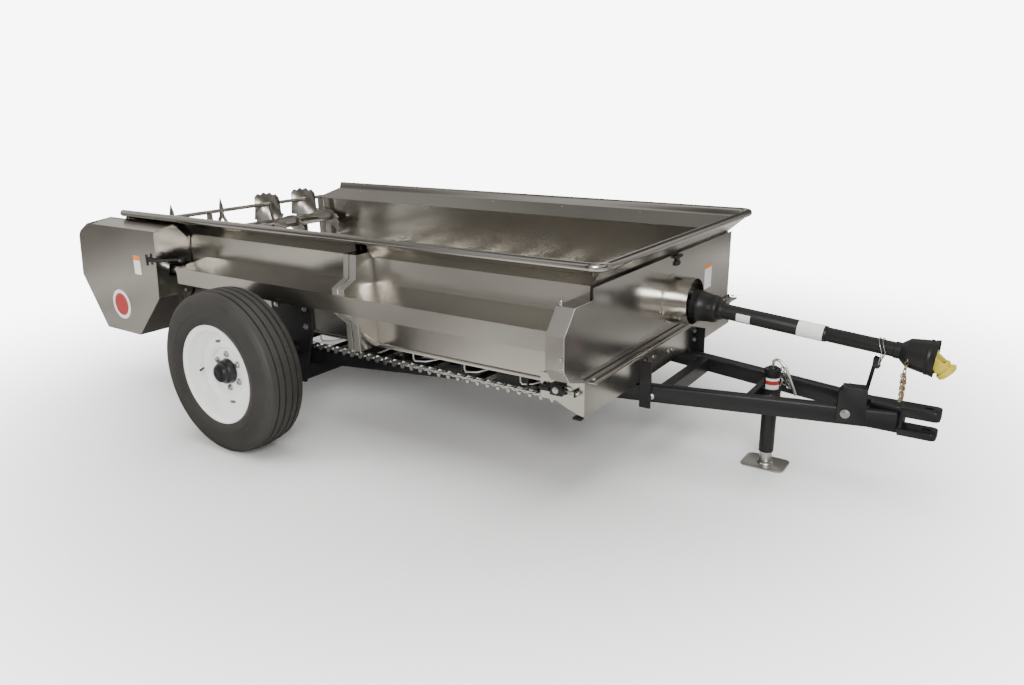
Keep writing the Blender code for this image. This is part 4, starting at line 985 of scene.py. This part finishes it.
def link_chain(shop: Shop, path: Sequence[Point], length: float = 0.022, wire: float = 0.0026) -> list[Piece]:
    """Oval links along a path, every other one turned a quarter.

    Args:
        shop: The workshop.
        path: Corner points of the chain's line.
        length: Outside length of a link.
        wire: Wire radius.

    Returns:
        The links.
    """
    points = [Vector(point) for point in path]
    spans = [(b - a).length for a, b in zip(points, points[1:])]
    pitch = length - 3.2 * wire
    count = max(2, int(sum(spans) / pitch))
    bpy.ops.mesh.primitive_torus_add(
        major_segments=14, minor_segments=6, major_radius=length / 2 - wire, minor_radius=wire
    )
    link = bpy.context.object
    for vertex in link.data.vertices:
        vertex.co.y *= 0.62
    matrices = []
    for i in range(count + 1):
        want = sum(spans) * i / count
        for a, b, span in zip(points, points[1:], spans):
            if want <= span + 1e-9:
                break
            want -= span
        spot = a.lerp(b, min(1.0, want / span))
        roll = Matrix.Rotation(radians(45 + 90 * (i % 2)), 4, "X")
        matrices.append(aim(b - a, "X", "Z", spot) @ roll)
    return shop.copies(link, matrices)


@dataclass
class DriveShaft:
    """The telescoping shaft to the tractor, with its shields, labels and coupling."""

    start: Point = (1.6, 0.0, 0.61)
    slope: float = 0.088
    outer_end: float = 0.515
    cone_end: float = 0.883
    joint: float = 0.875
    droop: float = 45.0
    yoke_length: float = 0.072

    @property
    def line(self) -> Vector:
        """Direction of the shaft."""
        return Vector((1, 0, -self.slope)).normalized()

    def at(self, distance: float) -> Vector:
        """A point on the shaft's axis."""
        return Vector(self.start) + self.line * distance

    def build(self, shop: Shop) -> None:
        """Models the shaft."""
        self.rear_half(shop)
        self.front_half(shop)
        self.coupling(shop)

    def rear_half(self, shop: Shop) -> None:
        """Cone, locking collar, outer tube and its two blank labels."""
        outer = shop.lathe(
            [
                (0.0278, 0.13), (0.0278, self.outer_end), (0.0292, self.outer_end + 0.0006),
                (0.03, self.outer_end - 0.001), (0.03, 0.128), (0.0315, 0.122), (0.035, 0.12), (0.037, 0.114),
                (0.037, 0.108), (0.04, 0.106), (0.05, 0.1), (0.052, 0.094), (0.0525, 0.088), (0.0545, 0.086),
                (0.0548, 0.08), (0.0535, 0.077), (0.06, 0.03), (0.0622, 0.028), (0.0625, 0.022), (0.0608, 0.019),
                (0.0635, 0.002), (0.062, 0.0), (0.06, 0.001), (0.056, 0.02), (0.042, 0.078), (0.025, 0.083),
                (0.02, -0.012), (0.001, -0.024), (0.001, 0.13),
            ],
            self.start, self.line, 48,
        )
        shop.finish("shield_rear", [outer], PLASTIC, Body.CHASSIS, ["pto_outer"], 40)
        wrap = [(0.0301, 0.412), (0.0301, 0.505), (0.0306, 0.505), (0.0306, 0.412)]
        bands = [shop.lathe(wrap, self.start, self.line, 40)]
        shop.finish("wrap_label", bands, LABEL)
        patch_line = arc((0, 0), 0.0306, 160, 222, 10) + arc((0, 0), 0.0301, 222, 160, 10)
        patch = shop.plate(patch_line, "Z", 0.182, 0.236)
        shop.finish("tube_label", [moved(patch, aim(self.line, start=self.start))], LABEL)

    def front_half(self, shop: Shop) -> None:
        """Inner tube, front cone, wire loop and the guard chain."""
        end = self.cone_end
        inner = shop.lathe(
            [
                (0.001, 0.2), (0.025, 0.2), (0.027, 0.203), (0.027, end - 0.136), (0.03, end - 0.134),
                (0.03, end - 0.114), (0.0335, end - 0.112), (0.045, end - 0.098), (0.0505, end - 0.091),
                (0.052, end - 0.085), (0.0602, end - 0.03), (0.0628, end - 0.028), (0.0632, end - 0.021),
                (0.0618, end - 0.018), (0.0665, end - 0.001), (0.065, end), (0.063, end - 0.001),
                (0.057, end - 0.028), (0.048, end - 0.084), (0.025, end - 0.095), (0.025, end - 0.055),
                (0.001, end - 0.055),
            ],
            self.start, self.line, 48,
        )
        shop.finish("shield_front", [inner], PLASTIC, Body.PTO_SLIDE, ["pto_inner"], 40)
        spot = self.at(0.713)
        wire = []
        for shift in (-0.006, 0.006):
            angles = [radians(degrees) for degrees in range(-20, 201, 20)]
            across, rise = spot.x + shift, 0.0315
            ring = [(across - 0.012 * sin(a), -rise * cos(a), spot.z + rise * sin(a)) for a in angles]
            ring.insert(0, (spot.x + shift * 0.3 - 0.006, -0.034, spot.z - 0.058))
            ring.append((spot.x + shift * 0.3 - 0.006, 0.03, spot.z - 0.05))
            wire.append(shop.tube(ring, 0.0018))
        shop.finish("wire_loop", wire, GALV, Body.PTO_SLIDE)
        top = self.at(end - 0.086) + Vector((0, -0.046, -0.012))
        low = (top.x - 0.004, -0.052, 0.418)
        links = link_chain(shop, [tuple(top), (top.x - 0.002, -0.056, 0.48), low], 0.022, 0.0027)
        for first, last in (
            ((-0.001, -0.048, 0.472), (0.004, -0.046, 0.386)), ((0.004, -0.052, 0.466), (-0.003, -0.044, 0.378)),
            ((-0.004, -0.055, 0.47), (-0.002, -0.056, 0.392)), ((0.006, -0.046, 0.456), (0.005, -0.05, 0.398)),
        ):
            strand = [(low[0] + first[0], *first[1:]), (low[0] + last[0], *last[1:])]
            links += link_chain(shop, strand, 0.02, 0.003)
        shop.finish("guard_chain", links, PASSIVE, Body.PTO_SLIDE, (), 60)

    def coupling(self, shop: Shop) -> None:
        """Rear fork and cross, then the coupling yoke at its hanging stop."""
        centre = self.at(self.joint)
        side = Vector((0, 1, 0))
        up = self.line.cross(side)
        turn = aim(self.line, "X", "Z", centre)
        pieces = [
            shop.rod(self.at(self.cone_end - 0.05), self.at(self.joint - 0.022), 0.018, 28, None, 0.002),
            shop.rod(centre - side * 0.0213, centre + side * 0.0213, 0.0085, 20),
            shop.rod(centre - up * 0.033, centre + up * 0.033, 0.0085, 20),
        ]
        bpy.ops.mesh.primitive_uv_sphere_add(segments=20, ring_count=12, radius=0.0135, location=centre)
        pieces.append(shop.settle(bpy.context.object))
        for low, high in ((-0.031, -0.015), (0.015, 0.031)):
            pieces.append(moved(shop.block((-0.036, -0.012, low), (0.0105, 0.012, high), 0.005), turn))
        shop.finish("cross_and_fork", pieces, YELLOW, Body.PTO_JOINT, ["pto_cross"], 40)
        angle = radians(self.droop)
        line = Vector((cos(angle), 0, -sin(angle)))
        turn = aim(line, "X", "Z", centre)
        collar = shop.lathe(
            [
                (0.0175, 0.03), (0.029, 0.03), (0.032, 0.034), (0.033, 0.04), (0.029, 0.043), (0.029, 0.049),
                (0.034, 0.052), (0.034, 0.066), (0.0325, 0.069), (0.028, 0.07), (0.026, self.yoke_length),
                (0.0185, self.yoke_length), (0.0175, 0.07),
            ],
            (0, 0, 0), (1, 0, 0), 40,
        )
        yoke = [collar]
        arm = arc((0, 0), 0.0165, 100, 260, 12) + [(0.03, -0.02), (0.044, -0.0215), (0.044, 0.0215), (0.03, 0.02)]
        for low, high in ((-0.033, -0.0222), (0.0222, 0.033)):
            yoke.append(shop.plate(arm, "Y", low, high, 0.003))
        for way in (-1, 1):
            yoke.append(shop.rod((0, way * 0.0325, 0), (0, way * 0.0355, 0), 0.01, 20, 0.008))
        yoke.append(shop.block((0.052, -0.006, 0.03), (0.064, 0.006, 0.0385), 0.0025))
        for i in range(6):
            rotation = Matrix.Rotation(tau * i / 6, 4, "X")
            spline = shop.block((0.034, -0.003, 0.015), (self.yoke_length - 0.002, 0.003, 0.0182))
            yoke.append(moved(spline, rotation))
        yoke = [moved(piece, turn) for piece in yoke]
        shop.finish("coupling_yoke", yoke, YELLOW, Body.PTO_YOKE, ["pto_yoke"], 40)


@dataclass
class Drawbar:
    """Rails, clevis, braces and their bolts, in satin black."""

    rail_top: float = 0.3325
    rail_height: float = 0.0655
    rail_width: float = 0.05
    front_x: float = 2.39
    front_y: float = 0.037
    rear_x: float = -0.07
    rear_y: float = 0.622
    clevis_end: float = 2.52
    clevis_half: float = 0.04
    pin_x: float = 2.474
    pin_slot: float = 0.01
    plate_bolts: tuple[Flat, ...] = ((-0.004, 0.399), (0.034, 0.396), (-0.151, 0.416))
    bracket_bolts: tuple[Flat, ...] = ((-0.09, 0.54), (0.09, 0.54), (-0.09, 0.46), (0.09, 0.46))

    @property
    def slope(self) -> float:
        """How fast the rails spread towards the axle."""
        return (self.rear_y - self.front_y) / (self.front_x - self.rear_x)

    def rail_y(self, x: float) -> float:
        """A rail's centre line."""
        return self.front_y + self.slope * (self.front_x - x)

    def build(self, shop: Shop) -> None:
        """Models the drawbar."""
        across = self.rail_width / 2 * sqrt(1 + self.slope**2)
        low = self.rail_top - self.rail_height
        for side in (-1, 1):
            outline = [
                (x, side * (self.rail_y(x) + offset * across))
                for x, offset in ((self.front_x, -1), (self.rear_x, -1), (self.rear_x, 1), (self.front_x, 1))
            ]
            rail = shop.plate(outline, "Z", low, self.rail_top, 0.006)
            word = side_name(side)
            shop.finish(f"rail_tube_{word}", [rail], BLACK, Body.CHASSIS, [f"rail_{word}"])
        self.clevis(shop, low)
        self.bolts(shop, across)

    def clevis(self, shop: Shop, low: float) -> None:
        """Two tangs with slotted pin holes, a web and the straps along the rails."""
        half, web = self.clevis_half, self.front_x + 0.0003

        def tang(end: float) -> list[Flat]:
            """Outline of a tang with rounded corners, out to an X."""
            corner = half * 0.5
            right = arc((end - corner, -half + corner), corner, -90, 0, 6)
            return [(web, -half), *right, *arc((end - corner, half - corner), corner, 0, 90, 6), (web, half)]

        pieces = []
        for outline, z0, z1 in ((tang(self.clevis_end), 0.314, 0.349), (tang(self.clevis_end - 0.005), 0.243, 0.27)):
            plate = shop.plate(outline, "Z", z0, z1, 0.003)
            ends = (self.pin_x, self.pin_x + self.pin_slot)
            holes = [shop.rod((x, 0, z0 - 0.05), (x, 0, z1 + 0.05), 0.0095, 24) for x in ends]
            pieces.append(shop.carved(plate, holes))
        pieces.append(shop.block((web - 0.098, -half, self.rail_top + 0.0003), (web + 0.004, half, 0.349), 0.003))
        pieces.append(shop.block((web - 0.098, -half, 0.2505), (web + 0.004, half, low - 0.0003), 0.003))
        pieces.append(shop.block((web, -half + 0.002, 0.252), (web + 0.015, half - 0.002, 0.347), 0.002))
        shop.finish("clevis", pieces, BLACK, Body.CHASSIS, ["hitch_clevis"])

    def bolts(self, shop: Shop, across: float) -> None:
        """Bolts on uprights, brace, rails, front plate and axle brackets."""
        pieces = []
        for side in (-1, 1):
            for z in (0.423, 0.384):
                pieces += shop.hex_bolt((1.5096, side * 0.258, z), (1, 0, 0), 0.009, 0.006)
            outer = side * (self.rail_y(1.545) + across + 0.0002)
            pieces += shop.hex_bolt((1.545, outer, 0.292), (0.23, side, 0), 0.01, 0.006)
            for x, z in self.bracket_bolts:
                pieces += shop.hex_bolt((x, side * 0.6803, z), (0, side, 0), 0.01, 0.007)
        for y, z in self.plate_bolts:
            pieces += shop.hex_bolt((1.503, y, z), (1, 0, 0), 0.0075, 0.005)
        shop.finish("frame_bolts", pieces, ZINC)


@dataclass
class ShaftStand:
    """The folding rod that holds the shaft up, on its bracket."""

    pivot: Point = (2.268, 0.0, 0.364)
    tip: Point = (2.291, 0.0, 0.482)

    def build(self, shop: Shop) -> None:
        """Models the stand."""
        pivot, tip = Vector(self.pivot), Vector(self.tip)
        top = Vector((tip.x + 0.002, -0.016, tip.z + 0.034))
        pieces = [
            shop.rod((pivot.x, -0.033, pivot.z), (pivot.x, 0.006, pivot.z), 0.006, 20, None, 0.001),
            shop.rod((pivot.x, 0.006, pivot.z), (pivot.x, 0.01, pivot.z), 0.0085, 6),
        ]
        flat = shop.block((-0.0065, -0.0035, 0.0), (0.0065, 0.0035, (top - pivot).length), 0.0012)
        pieces.append(moved(flat, aim(top - pivot, "Z", "X", pivot)))
        pieces.append(shop.block((tip.x - 0.008, -0.03, tip.z + 0.001), (tip.x + 0.016, -0.006, tip.z + 0.03), 0.003))
        shop.finish("stand_arm", pieces, BLACK, Body.STAND, ["stand_rod"])
        knob = shop.lathe(
            [(0.0, -0.014), (0.009, -0.013), (0.0125, -0.008), (0.0125, 0.001), (0.009, 0.005), (0.0, 0.006)],
            tip + Vector((0.006, -0.026, 0.002)), (0, -1, 0), 24,
        )
        shop.finish("stand_knob", [knob], RUBBER_AND_SHADOW, Body.STAND)
        slope = atan(0.2378)
        place = Matrix.Translation((2.225, -0.0763, 0)) @ Matrix.Rotation(slope, 4, "Z")
        cheek = [(-0.035, 0.28), (0.06, 0.28), (0.06, 0.406), (0.0, 0.41)]
        cheek += [(-0.02, 0.404), (-0.031, 0.39), (-0.035, 0.372)]
        bracket = [shop.plate(cheek, "Y", y0, y0 + 0.005, 0.0015) for y0 in (-0.0303, 0.0253)]
        bracket.append(shop.block((-0.02, -0.0303, 0.402), (0.06, 0.0303, 0.409), 0.002))
        bracket = [moved(piece, place) for piece in bracket]
        shop.finish("saddle", bracket, BLACK, Body.CHASSIS, ["stand_bracket"])
        bolts = shop.hex_bolt((2.226, -0.1085, 0.312), (0.23, -1, 0), 0.0125, 0.005)
        shop.finish("stand_bolts", bolts, ZINC)


@dataclass
class Jack:
    """Drop-leg parking jack with its crank, pull pin and foot."""

    x: float = 1.93
    tube_radius: float = 0.0285
    leg_radius: float = 0.0235
    low: float = 0.056
    top: float = 0.4
    label_z: Flat = (0.318, 0.366)
    band_z: Flat = (0.34, 0.356)

    def build(self, shop: Shop) -> None:
        """Models the jack."""
        r, top = self.tube_radius, self.top
        tube = shop.lathe(
            [
                (self.leg_radius + 0.001, self.low + 0.001), (self.leg_radius + 0.002, self.low),
                (r - 0.001, self.low), (r, self.low + 0.001), (r, top - 0.014), (r + 0.003, top - 0.012),
                (r + 0.003, top - 0.002), (r + 0.001, top), (0.018, top + 0.002), (0.016, top + 0.008),
                (0.001, top + 0.008), (0.001, top - 0.012), (self.leg_radius + 0.001, top - 0.012),
            ],
            (self.x, 0, 0), (0, 0, 1), 40,
        )
        shop.finish("jack_outer", [tube], BLACK, Body.CHASSIS, ["jack_tube"])
        self.leg(shop)
        self.crank(shop)
        band = arc((self.x, 0), r + 0.0006, -125, -5, 16) + arc((self.x, 0), r + 0.0001, -5, -125, 16)
        label = shop.plate(band, "Z", *self.label_z)
        shop.finish("jack_label", [label], LABEL)
        stripe = arc((self.x, 0), r + 0.001, -125, -5, 16) + arc((self.x, 0), r + 0.0004, -5, -125, 16)
        shop.finish("jack_label_band", [shop.plate(stripe, "Z", *self.band_z)], RED)

    def leg(self, shop: Shop) -> None:
        """Sliding leg on a pressed foot with rounded corners."""
        leg = shop.rod((self.x, 0, 0.006), (self.x, 0, 0.335), self.leg_radius, 36)
        shop.finish("jack_inner", [leg], ZINC, Body.JACK_LEG)
        half, across, corner = 0.085, 0.065, 0.025
        outline: list[Flat] = []
        for cx, cy, start in (
            (half - corner, across - corner, 0), (-half + corner, across - corner, 90),
            (-half + corner, -across + corner, 180), (half - corner, -across + corner, 270),
        ):
            outline += arc((self.x + cx, cy), corner, start, start + 90, 6)
        foot = shop.plate(outline, "Z", 0.0, 0.006, 0.0015)
        ring = shop.lathe(
            [(0.0236, 0.005), (0.033, 0.005), (0.031, 0.01), (0.026, 0.014), (0.0236, 0.015)], (self.x, 0, 0),
            (0, 0, 1), 36,
        )
        shop.finish("jack_foot_plate", [foot, ring], GALV, Body.JACK_LEG, ["jack_leg"])

    def crank(self, shop: Shop) -> None:
        """Folded crank, and the pull pin on its chain."""
        z = self.top + 0.009
        path: list[Point] = [(self.x, 0, z), (self.x, 0, z + 0.02)]
        path += [(self.x + 0.01, 0, z + 0.028), (self.x + 0.022, 0, z + 0.026), (self.x + 0.05, 0, z)]
        path.append((self.x + 0.094, 0, 0.307))
        shop.finish("jack_handle", [shop.tube(path, 0.0058)], ZINC, Body.CHASSIS, ["jack_crank"])
        x = self.x
        pin = [
            shop.rod((x + 0.01, -0.06, 0.3), (x + 0.01, 0.06, 0.3), 0.006, 16, None, 0.001),
            shop.tube(
                [
                    (x + 0.01, 0.056, 0.3), (x + 0.018, 0.064, 0.318), (x + 0.022, 0.06, 0.342),
                    (x + 0.016, 0.052, 0.35),
                ],
                0.0024,
            ),
        ]
        shop.finish("pull_pin", pin, ZINC)
        links = link_chain(
            shop,
            [
                (x + 0.034, 0.012, 0.398), (x + 0.052, 0.016, 0.36), (x + 0.066, 0.02, 0.33), (x + 0.05, 0.04, 0.318),
                (x + 0.022, 0.056, 0.344),
            ],
            0.024, 0.0024,
        )
        shop.finish("pin_chain", links, ZINC, Body.CHASSIS, (), 60)


@dataclass
class Covers:
    """Latches, blank labels, trim, and strips of painted highlight and painted shadow on the front and rear covers.
    """

    front_x: float = 1.5025
    rear_y: float = -0.855
    shaft_z: float = 0.622
    screw_circle: float = 0.098
    fold_y: float = -0.8616
    ledge_z: float = 0.489
    label_thick: float = 0.0006
    badge: Flat = (-1.038, 0.452)
    latch: Flat = (-0.745, 0.705)
    hinge: Flat = (-1.362, -0.6763)

    def build(self, shop: Shop) -> None:
        """Models the trim."""
        self.front(shop)
        self.ledge(shop)
        self.front_latch(shop)
        self.rear_latch(shop)
        self.rear(shop)

    def front(self, shop: Shop) -> None:
        """Guard ring, screws, a painted highlight along the cover's fold and a black strip of painted shadow along
        its foot.
        """
        x = self.front_x
        ring = shop.lathe(
            [
                (0.0925, 0.0003), (0.0925, 0.1), (0.0935, 0.1005), (0.095, 0.0998), (0.095, 0.004), (0.101, 0.0036),
                (0.1015, 0.0003),
            ],
            (x, 0, self.shaft_z), (1, 0, 0), 64,
        )
        shop.finish("shaft_guard", [ring], SHEET_X, Body.FRONT_COVER, ["guard_ring"])
        pieces = []
        for angle in map(radians, (155, 205, 335, 25)):
            y, z = self.screw_circle * cos(angle), self.shaft_z + self.screw_circle * sin(angle)
            pieces += shop.hex_bolt((x + 0.0036, y, z), (1, 0, 0), 0.005, 0.0035)
        pieces.append(shop.rod((1.444, -0.781, 0.7565), (1.444, -0.781, 0.776), 0.0085, 20, None, 0.003))
        for z in (0.6, 0.565):
            pieces += shop.hex_bolt((x - 0.01, self.fold_y - 0.0012, z), (0, -1, 0), 0.005, 0.003)
        shop.finish("front_cover_screws", pieces, ZINC, Body.FRONT_COVER)
        # A thin bright tube along the cover's fold: a painted highlight where the fold catches the light.
        line = ((-0.672, 0.7566), (-0.7915, 0.7566), (self.fold_y, 0.673), (self.fold_y, 0.558), (-0.825, 0.5114))
        fold_highlight = shop.tube([(x, y, z) for y, z in line], 0.0014)
        shop.finish("front_cover_painted_highlight", [fold_highlight], BRIGHT_AND_HIGHLIGHT, Body.FRONT_COVER)
        # A thin black strip along the cover's foot: painted shadow in the gap between the cover and the ledge.
        shadow_strip = shop.block((x, -0.725, self.ledge_z + 0.0003), (x + 0.0022, 0.665, 0.4945))
        shop.finish("front_cover_painted_shadow", [shadow_strip], RUBBER_AND_SHADOW, Body.FRONT_COVER)

    def ledge(self, shop: Shop) -> None:
        """A painted highlight along the ledge's front edge, bolts and corner foot of the ledge under the front cover.
        """
        # A thin bright strip on the ledge's front edge: a painted highlight.
        ledge_highlight = shop.block((1.5418, -0.7205, self.ledge_z - 0.0007), (1.5436, 0.7205, self.ledge_z + 0.001))
        shop.finish("ledge_painted_highlight", [ledge_highlight], BRIGHT_AND_HIGHLIGHT)
        place = 1.523, 0.694, self.ledge_z - 0.0001
        bolts = []
        for side in (-1, 1):
            bolts += shop.hex_bolt((place[0], side * place[1], place[2]), (0, 0, 1), 0.006, 0.004)
        shop.finish("ledge_bolts", bolts, ZINC)
        foot = shop.block((1.463, -0.734, 0.3415), (1.497, -0.706, 0.351), 0.002)
        shop.finish("corner_foot", [foot], BLACK)

    def front_latch(self, shop: Shop) -> None:
        """Label, and rubber T-latch at the top of the front cover."""
        x = self.front_x
        for name, low, high, look in (
            ("front_label", 0.585, 0.676, LABEL), ("front_label_band", 0.676, 0.694, ORANGE)
        ):
            label = shop.block((x, 0.363, low), (x + self.label_thick, 0.442, high))
            shop.finish(name, [label], look, Body.FRONT_COVER)
        latch = [
            shop.block((x, 0.016, 0.752), (x + 0.01, 0.056, 0.77), 0.004),
            shop.block((x + 0.003, 0.026, 0.766), (x + 0.009, 0.046, 0.79), 0.0025),
            shop.rod((x + 0.008, 0.006, 0.79), (x + 0.008, 0.066, 0.79), 0.007, 20, None, 0.002),
        ]
        shop.finish("front_latch", latch, RUBBER_AND_SHADOW, Body.FRONT_COVER)

    def rear(self, shop: Shop) -> None:
        """Labels of the rear cover, the stud its strap hooks on and its hinge knuckles."""
        y, (x, z) = self.rear_y, self.badge
        for name, low, high, look in (
            ("rear_label", 0.622, 0.69, LABEL), ("rear_label_band", 0.69, 0.713, ORANGE)
        ):
            label = shop.block((-0.878, y - self.label_thick, low), (-0.826, y, high))
            shop.finish(name, [label], look, Body.REAR_COVER)
        for name, radius, thick, look in (
            ("round_label", 0.074, self.label_thick, LABEL), ("round_label_centre", 0.056, 0.001, RED),
        ):
            shop.finish(name, [shop.rod((x, y, z), (x, y - thick, z), radius, 64)], look, Body.REAR_COVER)
        stud = [shop.rod((-0.618, -0.772, 0.7), (-0.618, -0.786, 0.7), 0.0075, 16, 0.005)]
        stud += shop.hex_bolt((-0.612, -0.773, 0.56), (0, -1, 0), 0.006, 0.004)
        shop.finish("latch_stud", stud, ZINC)
        knuckles = [
            shop.rod((*self.hinge, z - 0.01), (*self.hinge, z + 0.01), 0.0082, 20) for z in (0.535, 0.56, 0.6, 0.625)
        ]
        shop.finish("hinge_knuckles", knuckles, SHEET_X)

    def rear_latch(self, shop: Shop) -> None:
        """Rubber strap latch of the rear cover."""
        y, (x, z) = self.rear_y, self.latch
        line = [(x, y - 0.008, z), (-0.695, y - 0.006, 0.704), (-0.63, -0.782, 0.702), (-0.615, -0.772, 0.7)]
        strap = [
            shop.rod((x, y, z), (x, y - 0.012, z), 0.012, 28, None, 0.003),
            shop.block((-0.752, y - 0.016, 0.678), (-0.738, y - 0.008, 0.732), 0.0035),
            shop.block((-0.73, y - 0.012, 0.697), (-0.7, y - 0.002, 0.713), 0.003), shop.tube(line, 0.0062),
            shop.rod((-0.618, -0.77, 0.688), (-0.618, -0.77, 0.712), 0.011, 20, None, 0.002),
        ]
        shop.finish("rear_latch", strap, RUBBER_AND_SHADOW, Body.REAR_COVER)


@dataclass
class Studio:
    """Camera, lights, pale floor and surroundings."""

    position: Point = (2.7409 + AXLE_X, -2.9851, 1.4152)
    yaw: float = 34.114
    pitch: float = 17.049
    roll: float = -0.0136
    lens: float = 28.28
    white: float = 8.0
    room: float = 0.85
    fade: Flat = (1.3, 4.2)
    floor_size: float = 60.0

    def build(self) -> None:
        """Sets up the studio."""
        self.camera()
        self.lights()
        self.world()
        self.floor()

    def camera(self) -> None:
        """The camera at the product view."""
        yaw, pitch = radians(self.yaw), radians(self.pitch)
        ahead = Vector((-sin(yaw) * cos(pitch), cos(yaw) * cos(pitch), -sin(pitch)))
        right = Vector((cos(yaw), sin(yaw), 0))
        up = right.cross(ahead)
        c, s = cos(self.roll), sin(self.roll)
        across, above = right * c + up * s, up * c - right * s
        data = bpy.data.cameras.new("camera")
        data.lens = self.lens
        data.sensor_width = 36.0
        data.clip_end = 200.0
        camera = bpy.data.objects.new("camera", data)
        bpy.context.scene.collection.objects.link(camera)
        turn = Matrix((across, above, -ahead)).transposed().to_4x4()
        camera.matrix_world = Matrix.Translation(self.position) @ turn
        bpy.context.scene.camera = camera

    def lights(self) -> None:
        """Large soft sources: overhead, key from the right front, a low fill and a back light."""
        for name, place, target, size, power, seen in (
            ("overhead", (0.2, -0.3, 4.2), (0.2, 0, 0.5), 4.5, 260.0, False),
            ("key", (3.9, -4.9, 3.2), (0.4, 0, 0.5), 2.2, 260.0, True),
            ("fill", (-4.4, -4.0, 1.8), (-0.6, 0, 0.5), 2.4, 150.0, False),
            ("back", (0.5, 5.0, 3.2), (0.3, 0, 0.7), 3.0, 150.0, False),
        ):
            data = bpy.data.lights.new(name, "AREA")
            data.shape = "SQUARE"
            data.size = size
            data.energy = power
            lamp = bpy.data.objects.new(name, data)
            lamp.location = place
            lamp.visible_glossy = seen
            way = Vector(target) - Vector(place)
            lamp.rotation_euler = way.to_track_quat("-Z", "Y").to_euler()
            bpy.context.scene.collection.objects.link(lamp)

    @staticmethod
    def streaks(
        graph: Graph, coords: bpy.types.NodeSocket, stretch: Point, scale: float, stops: Sequence[Flat], tint: Point
    ) -> bpy.types.NodeSocket:
        """Broad soft bands from stretched noise, for what the sheet reflects.

        Args:
            graph: Where the nodes go.
            coords: Texture coordinates.
            stretch: Stretch of the noise along each axis.
            scale: Scale of the noise.
            stops: Position and value of the ramp's two ends.
            tint: Colour of the bright end.

        Returns:
            The colour.
        """
        along = graph.maths("MULTIPLY", coords, stretch, kind="VectorMath")
        ramp = graph.add("ValToRGB", {"Fac": graph.noise(along, scale, 1.5)})
        ramp.color_ramp.interpolation = "EASE"
        for element, (spot, value) in zip(ramp.color_ramp.elements, stops):
            element.position = spot
            element.color = (*(value * share for share in tint), 1)
        return ramp.outputs["Color"]

    def world(self) -> None:
        """White to the camera; a dim room with soft bright bands in reflections."""
        world = bpy.data.worlds.new("studio")
        world.use_nodes = True
        bpy.context.scene.world = world
        world.node_tree.nodes.clear()
        graph = Graph(world.node_tree)
        bands = self.streaks(
            graph, graph.coords("Generated"), (1.0, 1.0, 0.35), 2.4, ((0.4, 0.1), (0.64, 0.95)), (1, 0.975, 0.93)
        )
        room = graph.add("Background", {"Color": bands, "Strength": self.room})
        white = graph.add("Background", {"Color": (1, 1, 1, 1), "Strength": self.white})
        seen = graph.add("LightPath").outputs["Is Camera Ray"]
        mix = graph.add("MixShader", {"Fac": seen, 1: room.outputs[0], 2: white.outputs[0]})
        graph.add("OutputWorld", {"Surface": mix.outputs[0]})

    def floor(self) -> None:
        """A pale floor that fades into the white behind it and reads banded in reflections."""
        bpy.ops.mesh.primitive_plane_add(size=self.floor_size, location=(0, 0, -0.0005))
        plane = bpy.context.object
        plane.name = "studio_floor"
        material = bpy.data.materials.new("pale_floor")
        material.use_nodes = True
        graph = Graph(material.node_tree)
        coords, path = graph.coords(), graph.add("LightPath").outputs
        bands = self.streaks(graph, coords, (1.0, 0.3, 1.0), 1.1, ((0.38, 0.13), (0.66, 0.62)), (1, 0.97, 0.92))
        length = graph.add("VectorMath", {0: coords}, operation="LENGTH").outputs["Value"]
        fade = graph.add(
            "MapRange", {"Value": length, "From Min": self.fade[0], "From Max": self.fade[1]},
            interpolation_type="SMOOTHSTEP",
        )
        seen = graph.maths("MULTIPLY", fade.outputs["Result"], path["Is Camera Ray"])
        pale = {"Factor": path["Is Glossy Ray"], "A": (0.92, 0.92, 0.915, 1), "B": bands}
        mixed = graph.add("Mix", pale, data_type="RGBA").outputs["Result"]
        dark = graph.add("Mix", {"Factor": seen, "A": mixed, "B": (0, 0, 0, 1)}, data_type="RGBA")
        graph.shade({
            "Roughness": 1.0, "Specular IOR Level": 0.0, "Base Color": dark.outputs["Result"],
            "Emission Color": graph.scaled((1, 1, 1), seen), "Emission Strength": self.white,
        })
        plane.data.materials.append(material)


def main() -> None:
    """Builds the looks round the frame."""
    logging.basicConfig(level=logging.INFO)
    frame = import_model()
    slots = {entry["node"]: Slot(entry["material_slot"]) for entry in frame["record"]["subparts"]}
    shop = Shop(Paint())
    SheetWork().build(shop, frame["nodes"], slots)
    for side in (-1, 1):
        Wheel(side).build(shop)
    Conveyor().build(shop)
    Beater().build(shop)
    DriveShaft().build(shop)
    Drawbar().build(shop)
    ShaftStand().build(shop)
    Jack().build(shop)
    Covers().build(shop)
    Studio().build()
    log.info("%d pieces", shop.count)


if __name__ == "__main__":
    main()
